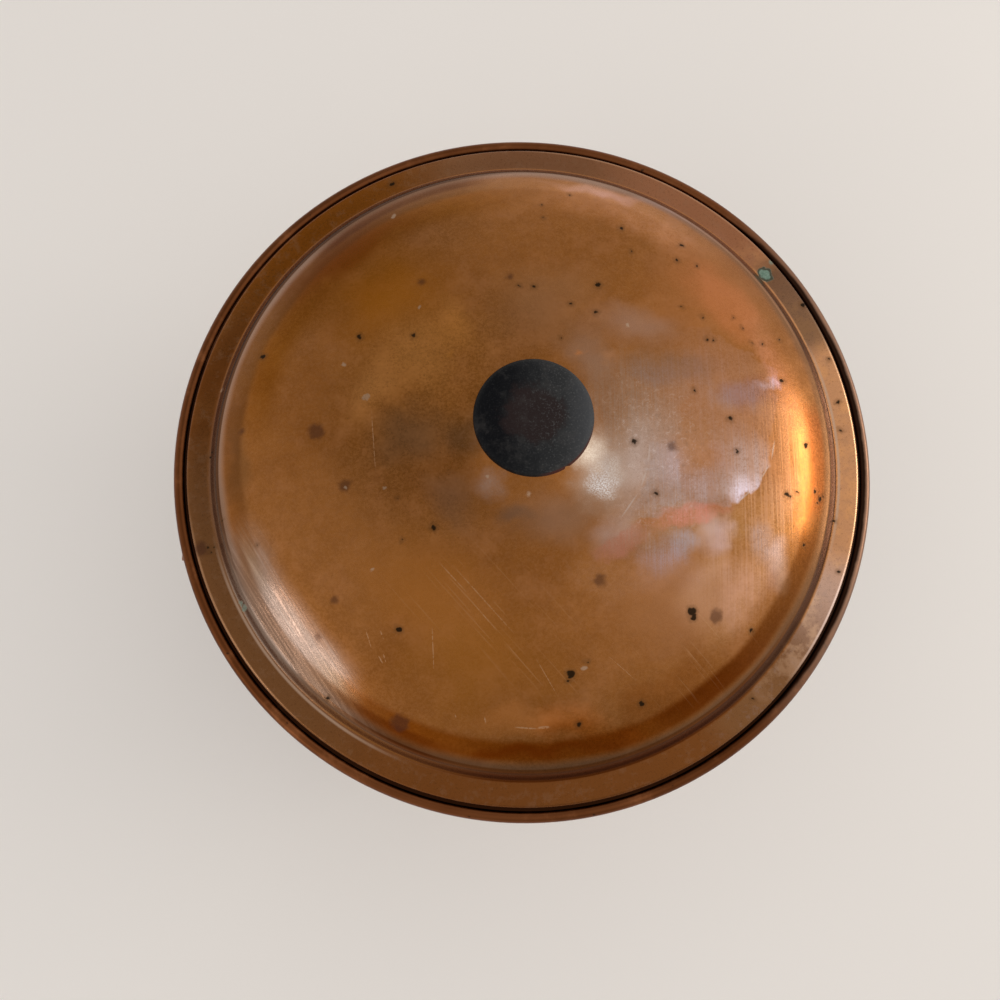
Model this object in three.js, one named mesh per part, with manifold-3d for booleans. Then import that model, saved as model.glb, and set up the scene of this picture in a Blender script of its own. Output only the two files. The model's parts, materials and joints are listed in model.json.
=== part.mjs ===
// A round copper chafing dish on its own stand, in millimetres, +Z up, feet on z = 0.
//
// From the top down it comes apart as a lid with a turned knob, a food pan with a wired rim, a water
// pan with two drop handles, a stand of a hoop and three legs, and a spirit lamp with a regulator
// sleeve, a hinged snuffer and a filler cap. Everything round is spun sheet, so most pieces are
// revolved from a skin that is given its sheet's thickness by an offset.

import * as THREE from "three";
import { mergeVertices } from "three/addons/utils/BufferGeometryUtils.js";
import Module from "manifold-3d";

const wasm = await Module();
wasm.setup();

// Clearances shared by all pieces
const gap = 0.3; // between two faces that touch
const pivotClearance = 0.3; // round a wire or pin in its hole
const overrun = 2; // how far a cut runs past what it cuts

// Facets of a full turn, and steps along a leg and an arm
const spunSides = 48;
const turnedSides = 24;
const smallSides = 12;
const legSteps = 20;
const armSteps = 16;
const bailSteps = 44;
const strapSteps = 8;
const wireSides = 8;
const gripSteps = 7;

// Lid: a spun cover with a hemmed flange, a step, a crown and a flared boss
const flangeRadius = 150;
const flangeWidth = 10.5;
const lidSheet = 1;
const hemRadius = 1.6;
const stepWidth = 5.3;
const stepHeight = 4.8;
const crownRise = 19;
const crownPower = 4;
const crownRadiusShares = [0.94, 0.85, 0.73, 0.54];
const stepShares = [
  [0.88, 0.1],
  [0.5, 0.56],
  [0.16, 0.92],
];
const bossFootRadius = 34;
const bossTopRadius = 11;
const bossRise = 6;
const bossFlarePower = 2.2;
const bossFlareShares = [1, 0.6, 0.25];

// Knob: ebonised wood on a metal ferrule, held by a screw and a washer from inside the lid
const knobRadius = 22.5;
const knobHeight = 27;
const knobFootRadius = 9.2;
const ferruleHeight = 4;
const ferruleFlange = 1.2;
const knobShares = [
  [1, 0],
  [0.95, 0.06],
  [0.87, 0.2],
  [0.98, 0.36],
  [1.55, 0.55],
  [2.14, 0.68],
  [2.4, 0.79],
];
const knobCapShares = [
  [1, 0.86],
  [0.965, 0.925],
  [0.85, 0.972],
  [0.5, 1],
];
const screwRadius = 2.3;
const screwHeadRadius = 5;
const screwHeadHeight = 3.6;
const screwFaceShare = 0.6;
const screwDepthInKnob = 14;
const washerRadius = 8;
const washerThickness = 1;

// Food pan: a wide ledge for the lid and a rim rolled over a wire
const panSheet = 1.2;
const lidSeatWidth = 8;
const ledgeRunout = 1.4;
const foodRollRadius = 2.6;
const rollAboveLedge = 1.5;
const foodPanDepth = 52;
const foodWallTaper = 12;
const panCornerRadius = 14;
const bendSteps = 2;
const ledgeBend = 3;

// Water pan: an upright band, a seat for the hoop and a lower bowl
const panClearance = 1.6;
const waterRollRadius = 2.2;
const waterPanDepth = 74;
const bandHeight = 33;
const seatWidth = 9;
const shoulderRise = 4;
const waterWallTaper = 3;

// Drop handles of the water pan
const strapThickness = 2;
const strapHeight = 15;
const strapAngle = 40;
const strapDrop = 16;
const earSpacing = 84;
const earLength = 8;
const earRadius = 4.5;
const earWebHeight = 6;
const pivotStandoff = 6;
const bailWireRadius = 2;
const bailDrop = 36;
const bailBendRadius = 6;
const bailSideClearance = 2;
const gripLength = 58;
const gripRadius = 6.4;
const gripEndShare = 0.72;

// Stand: a hoop, three cabriole legs on bun feet and three arms that carry the lamp ring
const hoopTop = 158;
const hoopThickness = 3.4;
const hoopHeight = 14;
const hoopClearance = 0.6;
const hoopBead = 1.2;
const legThickness = 4.6;
const legWidth = 14;
const legWaistInset = 16;
const legFootOutset = 1;
const legToeReach = 6;
const legToeRise = 6;
const legTurnShares = { front: -1 / 4, rear_right: 1 / 12, rear_left: 5 / 12 };
const footRadius = 11;
const footHeight = 9;
const footSeatRadius = 6.5;
const legWaistHeight = 72;
const legSoleFlat = 0.5;
const legBendShares = [
  [0.28, 0.3],
  [0.84, 0.7],
];
const legFlareShares = [
  [0.86, 0.55],
  [0.4, 0.16],
];
const legToeShares = [
  [1, 0.35],
  [1.4, 1],
];
const footShares = [
  [0.82, 0],
  [1, 0.3],
  [1, 0.58],
  [0.86, 0.84],
];
const armThickness = 3;
const armWidth = 10;
const armTabHeight = 12;
const armDipShares = [
  [0.03, 0.2],
  [0.15, 0.45],
  [0.4, 0],
];
const armRiseShares = [
  [0.7, 0.25],
  [0.9, 0.79],
];
const armBendShare = 0.6;
const lampRingTop = 40;
const lampRingHeight = 11;
const lampRingThickness = 3;

// Spirit lamp
const lampRadius = 43;
const lampSheet = 1;
const lampDepth = 26;
const lampBeadWidth = 3.4;
const lampBeadHeight = 2;
const lampCornerRadius = 6;
const lampShoulderRise = 8;
const lampTopShares = [
  [1, 0.22],
  [0.94, 0.5],
  [0.73, 0.84],
];
const burnerRadius = 16.3;
const burnerWall = 1.2;
const burnerHeight = 18;
const collarOverhang = 2.7;
const collarHeight = 1.5;
const sleeveHeight = 10.2;
const sleeveWall = 1.3;
const airHoleRadius = 2.6;
const airHoles = 6;
const gauzeThickness = 0.6;
const gauzeRecess = 0.8;
const leverReach = 52;
const leverRadius = 1.6;
const leverAngle = -50;
const leverGripRadius = 5.5;

// Snuffer: a cap hinged behind the burner
const capWall = 1.2;
const capHeight = 11;
const capDomeRise = 3;
const capDomeShares = [
  [0.86, 0.7],
  [0.4, 1],
];
const capInsideShare = 0.8;
const hingeOffset = 5.5;
const hingePinRadius = 1.2;
const knuckleRadius = 3;
const knuckleWidth = 6.2;
const bracketEar = 2;
const bracketFloor = 3;
const capArmHeight = 3;
const snufferKnobRadius = 3.4;
const snufferKnobShares = [
  [0.5, 0],
  [0.45, 0.2],
  [0.95, 0.45],
  [1, 0.65],
  [0.7, 0.9],
];

// Filler neck and its cap
const fillerPlaceShare = 0.5;
const neckRadius = 6;
const neckWall = 1.2;
const neckHeight = 6;
const neckFootShare = 0.45;
const fillerCapWall = 1.6;
const fillerCapSkirt = 4.5;
const fillerCapEdgeShare = 0.5;
const gasketThickness = 1.2;

// Materials
const copper = { color: 0x9a5a26, roughness: 0.36, metalness: 1 };
const brass = { color: 0xa98444, roughness: 0.4, metalness: 1 };
const steel = { color: 0x8c8c8c, roughness: 0.4, metalness: 1 };
const ebonisedWood = { color: 0x1c1a1a, roughness: 0.6, metalness: 0 };
const cotton = { color: 0xcfc6b2, roughness: 0.95, metalness: 0 };
const cork = { color: 0x9c7348, roughness: 0.9, metalness: 0 };

const dish = new THREE.Group();
const degrees = THREE.MathUtils.degToRad;

function addPiece(name, geometry, look) {
  const mesh = new THREE.Mesh(geometry, new THREE.MeshStandardMaterial(look));
  mesh.name = name;
  dish.add(mesh);
  return mesh;
}

// Merges shared corners and drops the flat triangles that a revolve leaves on its axis.
function closed(geometry) {
  geometry.deleteAttribute("normal");
  geometry.deleteAttribute("uv");
  const merged = mergeVertices(geometry);
  const corners = merged.index.array;
  const kept = [];
  for (let i = 0; i < corners.length; i += 3) {
    const [a, b, c] = corners.slice(i, i + 3);
    if (a !== b && b !== c && c !== a) kept.push(a, b, c);
  }
  merged.setIndex(kept);
  merged.computeVertexNormals();
  return merged;
}

// Revolves a closed outline of [radius, height] pairs about Z.
function revolve(outline, sides) {
  const points = outline.map(([r, z]) => new THREE.Vector2(r, z));
  if (THREE.ShapeUtils.area(points) < 0) points.reverse();
  if (points[0].x > 0 || points.at(-1).x > 0) points.push(points[0].clone());
  return closed(new THREE.LatheGeometry(points, sides).rotateX(Math.PI / 2));
}

// Points of an arc round a centre, the angles in degrees.
function arcPoints(centre, radius, angles) {
  return angles.map((a) => [
    centre[0] + radius * Math.cos(degrees(a)),
    centre[1] + radius * Math.sin(degrees(a)),
  ]);
}

// Angles that divide a turn from one to another, both ends included.
function spread(from, to, steps) {
  return Array.from({ length: steps + 1 }, (_, i) => from + ((to - from) * i) / steps);
}

// The same, but always with the angle zero among them, where a roll is widest.
function roundTurn(from, to, stepsBefore, stepsAfter) {
  return [...spread(from, 0, stepsBefore), ...spread(0, to, stepsAfter).slice(1)];
}

// Moves an open skin sideways by a sheet's thickness, to the left of its direction of travel.
function offsetSkin(skin, thickness) {
  const normals = skin.slice(1).map(([r, z], i) => {
    const run = new THREE.Vector2(r - skin[i][0], z - skin[i][1]).normalize();
    return new THREE.Vector2(-run.y, run.x);
  });
  return skin.map(([r, z], i) => {
    const before = normals[Math.max(i - 1, 0)];
    const after = normals[Math.min(i, normals.length - 1)];
    const mitre = before.clone().add(after).normalize();
    const reach = thickness / mitre.dot(after);
    return [r + mitre.x * reach, z + mitre.y * reach];
  });
}

// A flat outline in the plane of radius and height, as thick as width across that plane.
function radialPlate(outline, width) {
  const shape = new THREE.Shape(outline.map(([r, z]) => new THREE.Vector2(r, z)));
  const plate = new THREE.ExtrudeGeometry(shape, { depth: width, bevelEnabled: false });
  plate.rotateX(Math.PI / 2).translate(0, width / 2, 0);
  return closed(plate);
}

// The outline of a bar of even thickness along a smooth centre line, its ends cut square.
function barOutline(centreLine, thickness, steps) {
  const curve = new THREE.SplineCurve(centreLine.map(([r, z]) => new THREE.Vector2(r, z)));
  const line = curve.getSpacedPoints(steps).map((p) => [p.x, p.y]);
  const left = offsetSkin(line, thickness / 2);
  const right = offsetSkin(line, -thickness / 2);
  return [...left, ...right.reverse()];
}

function box(size, centre) {
  const block = new THREE.BoxGeometry(...size).translate(...centre);
  return closed(block);
}

// A round bar from one point to another.
function rod(from, to, radius, sides) {
  const start = new THREE.Vector3(...from);
  const run = new THREE.Vector3(...to).sub(start);
  const bar = new THREE.CylinderGeometry(radius, radius, run.length(), sides);
  const turn = new THREE.Quaternion().setFromUnitVectors(
    new THREE.Vector3(0, 1, 0),
    run.clone().normalize(),
  );
  bar.applyQuaternion(turn);
  bar.translate(...start.addScaledVector(run, 0.5).toArray());
  return closed(bar);
}

function toSolid(geometry) {
  const merged = closed(geometry.clone());
  return new wasm.Manifold(
    new wasm.Mesh({
      numProp: 3,
      vertProperties: merged.attributes.position.array,
      triVerts: new Uint32Array(merged.index.array),
    }),
  );
}

function toGeometry(solid) {
  const mesh = solid.getMesh();
  const geometry = new THREE.BufferGeometry();
  geometry.setAttribute("position", new THREE.BufferAttribute(mesh.vertProperties, 3));
  geometry.setIndex(new THREE.BufferAttribute(mesh.triVerts, 1));
  geometry.computeVertexNormals();
  return geometry;
}

// Joins the first list of geometries and cuts the second from them.
function joinAndCut(joined, cuts) {
  let solid = joined.map(toSolid).reduce((a, b) => a.add(b));
  for (const cut of cuts) solid = solid.subtract(toSolid(cut));
  return toGeometry(solid);
}

// Heights of the stack, from the hoop that carries the water pan up to the lid's flange
const seatHeight = hoopTop + gap;
const waterRimTop = seatHeight + bandHeight;
const ledgeBottom = waterRimTop + gap;
const ledgeTop = ledgeBottom + panSheet;
const flangeTop = ledgeTop + gap + 2 * hemRadius;

// Radii of the stack, from the lid's flange inwards
const foodWallRadius = flangeRadius - lidSeatWidth + panSheet;
const waterWallRadius = foodWallRadius + panClearance + panSheet;
const bowlRadius = waterWallRadius - seatWidth;
const hoopInner = bowlRadius + hoopClearance;
const hoopOuter = hoopInner + hoopThickness;

// Lid
const stepFootRadius = flangeRadius - flangeWidth;
const crestRadius = stepFootRadius - stepWidth;

function crownHeight(radius) {
  return flangeTop + stepHeight + crownRise * (1 - (radius / crestRadius) ** crownPower);
}

const bossTop = crownHeight(bossTopRadius) + bossRise;

function lidSkin() {
  const crown = crownRadiusShares.map((share) => {
    const radius = crestRadius * share;
    return [radius, crownHeight(radius)];
  });
  const flare = bossFlareShares.map((share) => {
    const radius = bossTopRadius + (bossFootRadius - bossTopRadius) * share;
    return [radius, crownHeight(radius) + bossRise * (1 - share) ** bossFlarePower];
  });
  const step = stepShares.map(([across, up]) => [
    crestRadius + stepWidth * across,
    flangeTop + stepHeight * up,
  ]);
  return [
    [flangeRadius - hemRadius, flangeTop],
    [stepFootRadius, flangeTop],
    ...step,
    [crestRadius, flangeTop + stepHeight],
    ...crown,
    ...flare,
    [bossTopRadius, bossTop],
    [screwRadius + pivotClearance, bossTop],
  ];
}

function lidCover() {
  const skin = lidSkin();
  const inside = offsetSkin(skin, lidSheet);
  const hemCentre = [flangeRadius - hemRadius, flangeTop - hemRadius];
  const meeting = THREE.MathUtils.radToDeg(Math.asin((hemRadius - lidSheet) / hemRadius));
  const hem = arcPoints(hemCentre, hemRadius, roundTurn(-180 - meeting, 90, 3, 2)).slice(0, -1);
  return revolve([...hem, ...skin, ...inside.slice(1).reverse()], spunSides);
}

// Knob, ferrule, screw and washer
const ferruleBottom = bossTop + gap;
const ferruleTop = ferruleBottom + ferruleHeight;
const knobBottom = ferruleTop + gap;
const screwHole = screwRadius + pivotClearance;

function knob() {
  const neck = knobShares.map(([r, z]) => [knobFootRadius * r, knobBottom + knobHeight * z]);
  const cap = knobCapShares.map(([r, z]) => [knobRadius * r, knobBottom + knobHeight * z]);
  const boreTop = knobBottom + screwDepthInKnob + gap;
  return revolve(
    [
      [0, boreTop],
      [screwHole, boreTop],
      [screwHole, knobBottom],
      ...neck,
      ...cap,
      [0, knobBottom + knobHeight],
    ],
    turnedSides,
  );
}

function ferrule() {
  const waist = knobFootRadius;
  const foot = bossTopRadius - gap;
  return revolve(
    [
      [screwHole, ferruleBottom],
      [foot, ferruleBottom],
      [foot, ferruleBottom + ferruleFlange],
      [waist, ferruleBottom + ferruleHeight / 2],
      [waist, ferruleTop - ferruleFlange / 2],
      [foot, ferruleTop],
      [screwHole, ferruleTop],
    ],
    turnedSides,
  );
}

function washer() {
  const top = bossTop - lidSheet - gap;
  return revolve(
    [
      [screwHole, top - washerThickness],
      [washerRadius, top - washerThickness],
      [washerRadius, top],
      [screwHole, top],
    ],
    smallSides,
  );
}

function knobScrew() {
  const headTop = bossTop - lidSheet - washerThickness - 2 * gap;
  const headBottom = headTop - screwHeadHeight;
  return revolve(
    [
      [0, headBottom],
      [screwHeadRadius * screwFaceShare, headBottom],
      [screwHeadRadius, headBottom + screwHeadHeight / 2],
      [screwHeadRadius, headTop],
      [screwRadius, headTop],
      [screwRadius, knobBottom + screwDepthInKnob],
      [0, knobBottom + screwDepthInKnob],
    ],
    smallSides,
  );
}

addPiece("lid_cover", lidCover(), copper);
addPiece("lid_knob", knob(), ebonisedWood);
addPiece("knob_ferrule", ferrule(), copper);
addPiece("knob_washer", washer(), brass);
addPiece("knob_screw", knobScrew(), steel);

// Food pan: the outer skin runs from the middle of the bottom to the underside of the ledge
const foodBottom = ledgeTop - foodPanDepth - panSheet;
const foodRollCentre = [
  flangeRadius + ledgeRunout + foodRollRadius,
  ledgeTop + rollAboveLedge - foodRollRadius,
];

function foodPan() {
  const wallFoot = foodWallRadius - foodWallTaper;
  const corner = arcPoints(
    [wallFoot - panCornerRadius, foodBottom + panCornerRadius],
    panCornerRadius,
    spread(-90, 0, bendSteps),
  );
  const bend = arcPoints(
    [foodWallRadius + ledgeBend, ledgeBottom - ledgeBend],
    ledgeBend,
    spread(180, 90, bendSteps),
  );
  const under = [[0, foodBottom], ...corner, ...bend];
  const lineAngle = (height) =>
    THREE.MathUtils.radToDeg(Math.asin((height - foodRollCentre[1]) / foodRollRadius));
  const roll = arcPoints(
    foodRollCentre,
    foodRollRadius,
    roundTurn(-180 - lineAngle(ledgeBottom), 180 - lineAngle(ledgeTop), 4, 3),
  );
  const inside = offsetSkin(under, panSheet);
  inside[0][0] = 0;
  return revolve([...under, ...roll, ...inside.reverse()], spunSides);
}

addPiece("food_pan", foodPan(), copper);

// Water pan: the outer skin runs from the middle of the bottom to the roll of the rim
const waterBottom = waterRimTop - waterPanDepth;
const waterRollCentre = [
  waterWallRadius + waterRollRadius - panSheet,
  waterRimTop - waterRollRadius,
];

function waterPan() {
  const wallFoot = bowlRadius - waterWallTaper;
  const corner = arcPoints(
    [wallFoot - panCornerRadius, waterBottom + panCornerRadius],
    panCornerRadius,
    spread(-90, 0, bendSteps),
  );
  const shoulderFoot = waterWallRadius - shoulderRise;
  const shoulder = arcPoints(
    [shoulderFoot, seatHeight + shoulderRise],
    shoulderRise,
    spread(-90, 0, bendSteps),
  );
  const seatDrop = seatHeight - hoopHeight;
  const outside = [
    [0, waterBottom],
    ...corner,
    [bowlRadius, seatDrop],
    [bowlRadius, seatHeight],
    ...shoulder,
  ];
  const meeting = THREE.MathUtils.radToDeg(
    Math.acos((waterRollRadius - panSheet) / waterRollRadius),
  );
  const roll = arcPoints(waterRollCentre, waterRollRadius, roundTurn(meeting - 180, 180, 2, 3));
  const inside = offsetSkin(outside, panSheet);
  inside[0][0] = 0;
  return revolve([...outside, ...roll, ...inside.reverse()], spunSides);
}

addPiece("water_pan", waterPan(), copper);

// Drop handles. Each is drawn on the +X side and turned to its own side.
const pivotPlace = [waterWallRadius + pivotStandoff, 0, waterRimTop - strapDrop];
const handleTurnShares = { right: 0, left: 1 / 2 };

function handleStrap() {
  const inner = waterWallRadius + gap;
  const outer = inner + strapThickness;
  const half = degrees(strapAngle / 2);
  const sector = new THREE.Shape();
  sector.absarc(0, 0, outer, -half, half, false);
  sector.absarc(0, 0, inner - overrun, half, -half, true);
  const plate = new THREE.ExtrudeGeometry(sector, {
    depth: strapHeight,
    bevelEnabled: false,
    curveSegments: strapSteps,
  });
  const low = pivotPlace[2] - strapHeight / 2;
  plate.translate(0, 0, low);
  const panWall = revolve(
    [
      [0, low - overrun],
      [inner, low - overrun],
      [inner, low + strapHeight + overrun],
      [0, low + strapHeight + overrun],
    ],
    spunSides,
  );
  const joined = [plate];
  const cuts = [panWall];
  const webFrom = Math.sqrt(inner ** 2 - ((earSpacing + earLength) / 2) ** 2) - strapThickness;
  const webLength = pivotPlace[0] - webFrom;
  for (const side of [-1, 1]) {
    const middle = (side * earSpacing) / 2;
    const pivotLine = (reach) => [
      [pivotPlace[0], middle - reach, pivotPlace[2]],
      [pivotPlace[0], middle + reach, pivotPlace[2]],
    ];
    const webMiddle = [pivotPlace[0] - webLength / 2, middle, pivotPlace[2]];
    joined.push(
      box([webLength, earLength, earWebHeight], webMiddle),
      rod(...pivotLine(earLength / 2), earRadius, smallSides),
    );
    const boreRadius = bailWireRadius + pivotClearance;
    cuts.push(rod(...pivotLine(earLength / 2 + overrun), boreRadius, smallSides));
  }
  return joinAndCut(joined, cuts);
}

// The wire bail: in through one ear, down, across under the grip, up and in through the other ear.
function bail() {
  const [x, , z] = pivotPlace;
  const side = earSpacing / 2 + earLength / 2 + bailSideClearance + bailWireRadius;
  const end = earSpacing / 2 - earLength / 2;
  const low = z - bailDrop;
  const path = new THREE.CurvePath();
  const point = (y, height) => new THREE.Vector3(x, y, height);
  const b = bailBendRadius;
  const line = (p, q) => path.add(new THREE.LineCurve3(p, q));
  const bend = (p, knee, q) => path.add(new THREE.QuadraticBezierCurve3(p, knee, q));
  line(point(-end, z), point(b - side, z));
  bend(point(b - side, z), point(-side, z), point(-side, z - b));
  line(point(-side, z - b), point(-side, low + b));
  bend(point(-side, low + b), point(-side, low), point(b - side, low));
  line(point(b - side, low), point(side - b, low));
  bend(point(side - b, low), point(side, low), point(side, low + b));
  line(point(side, low + b), point(side, z - b));
  bend(point(side, z - b), point(side, z), point(side - b, z));
  line(point(side - b, z), point(end, z));
  const round = arcPoints([0, 0], bailWireRadius, spread(0, 360, wireSides).slice(0, -1));
  const section = new THREE.Shape(round.map(([u, v]) => new THREE.Vector2(u, v)));
  return closed(
    new THREE.ExtrudeGeometry(section, { steps: bailSteps, bevelEnabled: false, extrudePath: path }),
  );
}

function grip() {
  const bore = bailWireRadius + pivotClearance;
  const half = gripLength / 2;
  const end = gripRadius * gripEndShare;
  const barrel = spread(-1, 1, 4).map((share) => [
    end + (gripRadius - end) * (1 - share ** 2),
    half * share,
  ]);
  const turned = revolve([[bore, -half], ...barrel, [bore, half]], smallSides);
  return turned.rotateX(Math.PI / 2).translate(pivotPlace[0], 0, pivotPlace[2] - bailDrop);
}

for (const [side, share] of Object.entries(handleTurnShares)) {
  const turn = 2 * Math.PI * share;
  addPiece(side + "_handle_strap", handleStrap().rotateZ(turn), copper);
  addPiece(side + "_bail", bail().rotateZ(turn), copper);
  addPiece(side + "_grip", grip().rotateZ(turn), ebonisedWood);
}

// Stand
function hoop() {
  const low = hoopTop - hoopHeight;
  return revolve(
    [
      [hoopInner, low],
      [hoopOuter, low],
      [hoopOuter, hoopTop - hoopBead],
      [hoopOuter - hoopBead / 2, hoopTop],
      [hoopInner, hoopTop],
    ],
    spunSides,
  );
}

// The leg stands off the hoop by its gap, draws in to a waist and runs out to its toe.
const legTopRadius = hoopOuter + gap + legThickness / 2;
const legWaistRadius = legTopRadius - legWaistInset;
const legFootRadius = legTopRadius + legFootOutset;
const legSole = footHeight + gap + legThickness / 2 - legSoleFlat;

function legLine() {
  const top = hoopTop - gap;
  const bottomOfHoop = hoopTop - hoopHeight;
  const fall = bottomOfHoop - legWaistHeight;
  return [
    [legTopRadius, top],
    [legTopRadius, (top + bottomOfHoop) / 2],
    [legTopRadius, bottomOfHoop],
    ...legBendShares.map(([r, z]) => [legTopRadius - legWaistInset * r, bottomOfHoop - fall * z]),
    [legWaistRadius, legWaistHeight],
    ...legFlareShares.map(([r, z]) => [
      legTopRadius - legWaistInset * r,
      legSole + (legWaistHeight - legSole) * z,
    ]),
    [legFootRadius, legSole],
    ...legToeShares.map(([r, z]) => [legFootRadius + legToeReach * r, legSole + legToeRise * z]),
  ];
}

// A leg's sole is filed flat where it stands on its foot.
function leg() {
  const bar = radialPlate(barOutline(legLine(), legThickness, legSteps), legWidth);
  const sole = footHeight + gap;
  const filed = box([2 * footRadius, legWidth + overrun, sole], [legFootRadius, 0, sole / 2]);
  return joinAndCut([bar], [filed]);
}

function foot() {
  const side = footShares.map(([r, z]) => [footRadius * r, footHeight * z]);
  const seat = [footSeatRadius, footHeight];
  const bun = revolve([[0, 0], ...side, seat, [0, footHeight]], smallSides);
  return bun.translate(legFootRadius, 0, 0);
}

const lampRingInner = lampRadius + hoopClearance;
const lampRingOuter = lampRingInner + lampRingThickness;

function lampRing() {
  return revolve(
    [
      [lampRingInner, lampRingTop - lampRingHeight],
      [lampRingOuter, lampRingTop - lampRingHeight],
      [lampRingOuter, lampRingTop],
      [lampRingInner, lampRingTop],
    ],
    turnedSides,
  );
}

// The innermost radius that the leg's bar reaches round its waist.
function legInnerRadius() {
  const outline = barOutline(legLine(), legThickness, legSteps);
  const waist = outline.filter(([, z]) => Math.abs(z - legWaistHeight) < armTabHeight);
  return Math.min(...waist.map(([r]) => r));
}

// Each arm stands flat on the ring and flat on the leg's waist, and runs between them in a curve.
function armLine() {
  const from = lampRingOuter + gap + armThickness / 2;
  const to = legInnerRadius() - gap - armThickness / 2;
  const low = lampRingTop - lampRingHeight;
  const run = to - from;
  const waistTop = legWaistHeight + armTabHeight / 2;
  const waistLow = legWaistHeight - armTabHeight / 2;
  const rise = waistLow - lampRingTop;
  return [
    [from, lampRingTop],
    [from, (lampRingTop + low) / 2],
    ...armDipShares.map(([r, z]) => [from + run * r, low - lampRingHeight * z]),
    ...armRiseShares.map(([r, z]) => [from + run * r, lampRingTop + rise * z]),
    [to - armThickness * armBendShare, waistLow],
    [to, legWaistHeight],
    [to, waistTop],
  ];
}

addPiece("stand_hoop", hoop(), copper);
addPiece("lamp_ring", lampRing(), copper);
for (const [place, share] of Object.entries(legTurnShares)) {
  const turn = 2 * Math.PI * share;
  const arm = radialPlate(barOutline(armLine(), armThickness, armSteps), armWidth);
  addPiece(place + "_leg", leg().rotateZ(turn), copper);
  addPiece(place + "_foot", foot().rotateZ(turn), ebonisedWood);
  addPiece(place + "_arm", arm.rotateZ(turn), copper);
}

// Spirit lamp: a cup packed with cotton, a domed top, and a burner tube with its wick
const lampSeat = lampRingTop + gap;
const lampBeadTop = lampSeat + lampBeadHeight;
const lampBottom = lampSeat - lampDepth;
const lampBeadRadius = lampRadius + lampBeadWidth;
const collarRadius = burnerRadius + collarOverhang;
const fillerPlace = collarRadius + (lampRadius - collarRadius) * fillerPlaceShare;
const topEdge = lampBeadTop + gap;
const topHeight = topEdge + lampShoulderRise;
const burnerBottom = lampBeadTop + gap;
const collarBottom = topHeight + gap;
const collarTop = collarBottom + collarHeight;
const sleeveBottom = collarTop + gap;
const sleeveTop = sleeveBottom + sleeveHeight;
const beadBottom = sleeveTop + gap;
const beadTop = beadBottom + collarHeight;
const burnerTop = collarBottom + burnerHeight;
const neckTop = topHeight + neckHeight;

function reservoir() {
  const c = lampCornerRadius;
  const centre = [lampRadius - c, lampBottom + c];
  const corner = arcPoints(centre, c, spread(-90, 0, bendSteps));
  const inner = arcPoints(centre, c - lampSheet, spread(0, -90, bendSteps));
  return revolve(
    [
      [0, lampBottom],
      ...corner,
      [lampRadius, lampSeat],
      [lampBeadRadius, lampSeat],
      [lampBeadRadius, lampBeadTop],
      [lampRadius - lampSheet, lampBeadTop],
      ...inner,
      [0, lampBottom + lampSheet],
    ],
    turnedSides,
  );
}

function packing() {
  const radius = lampRadius - lampSheet - gap;
  const low = lampBottom + lampSheet + gap;
  const c = lampCornerRadius - lampSheet;
  return revolve(
    [
      [0, low],
      [radius - c, low],
      [radius, low + c],
      [radius, lampBeadTop],
      [0, lampBeadTop],
    ],
    turnedSides,
  );
}

function lampTop() {
  const rim = lampBeadRadius;
  const skin = [
    [rim, topEdge],
    ...lampTopShares.map(([r, z]) => [rim * r, topEdge + lampShoulderRise * z]),
    [collarRadius, topHeight],
    [burnerRadius + gap, topHeight],
  ];
  const inside = offsetSkin(skin, lampSheet);
  inside[0][1] = topEdge;
  inside.at(-1)[0] = burnerRadius + gap;
  const dome = revolve([...skin, ...inside.reverse()], turnedSides);
  const neckHole = rod(
    [-fillerPlace, 0, topEdge],
    [-fillerPlace, 0, topHeight + overrun],
    neckRadius + gap,
    smallSides,
  );
  return joinAndCut([dome], [neckHole]);
}

function fillerNeck() {
  const foot = topEdge + lampShoulderRise * neckFootShare;
  const neck = revolve(
    [
      [neckRadius - neckWall, foot],
      [neckRadius, foot],
      [neckRadius, neckTop],
      [neckRadius - neckWall, neckTop],
    ],
    smallSides,
  );
  return neck.translate(-fillerPlace, 0, 0);
}

// Radial holes round a tube, at the middle of the sleeve's height.
function airHoleCuts(radius) {
  const height = (sleeveBottom + sleeveTop) / 2;
  return Array.from({ length: airHoles / 2 }, (_, i) => {
    const turn = (2 * Math.PI * i) / airHoles;
    const [x, y] = [Math.cos(turn) * radius, Math.sin(turn) * radius];
    return rod([-x, -y, height], [x, y, height], airHoleRadius, wireSides);
  });
}

function burnerTube() {
  const inner = burnerRadius - burnerWall;
  const tube = revolve(
    [
      [inner, burnerBottom],
      [burnerRadius, burnerBottom],
      [burnerRadius, collarBottom],
      [collarRadius, collarBottom],
      [collarRadius, collarTop],
      [burnerRadius, collarTop],
      [burnerRadius, beadBottom],
      [collarRadius, beadBottom],
      [collarRadius, beadTop],
      [burnerRadius, beadTop],
      [burnerRadius, burnerTop],
      [inner, burnerTop],
    ],
    turnedSides,
  );
  return joinAndCut([tube], airHoleCuts(collarRadius + overrun));
}

function wick() {
  const radius = burnerRadius - burnerWall - gap;
  const top = burnerTop - gauzeRecess - gauzeThickness - gap;
  return revolve([[0, burnerBottom], [radius, burnerBottom], [radius, top], [0, top]], turnedSides);
}

function gauze() {
  const radius = burnerRadius - burnerWall - gap;
  const top = burnerTop - gauzeRecess;
  const low = top - gauzeThickness;
  return revolve([[0, low], [radius, low], [radius, top], [0, top]], turnedSides);
}

// Regulator: a pierced sleeve that turns on the burner, with a lever
const sleeveInner = burnerRadius + gap;
const sleeveOuter = sleeveInner + sleeveWall;
const sleeveMiddle = (sleeveBottom + sleeveTop) / 2;

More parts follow.
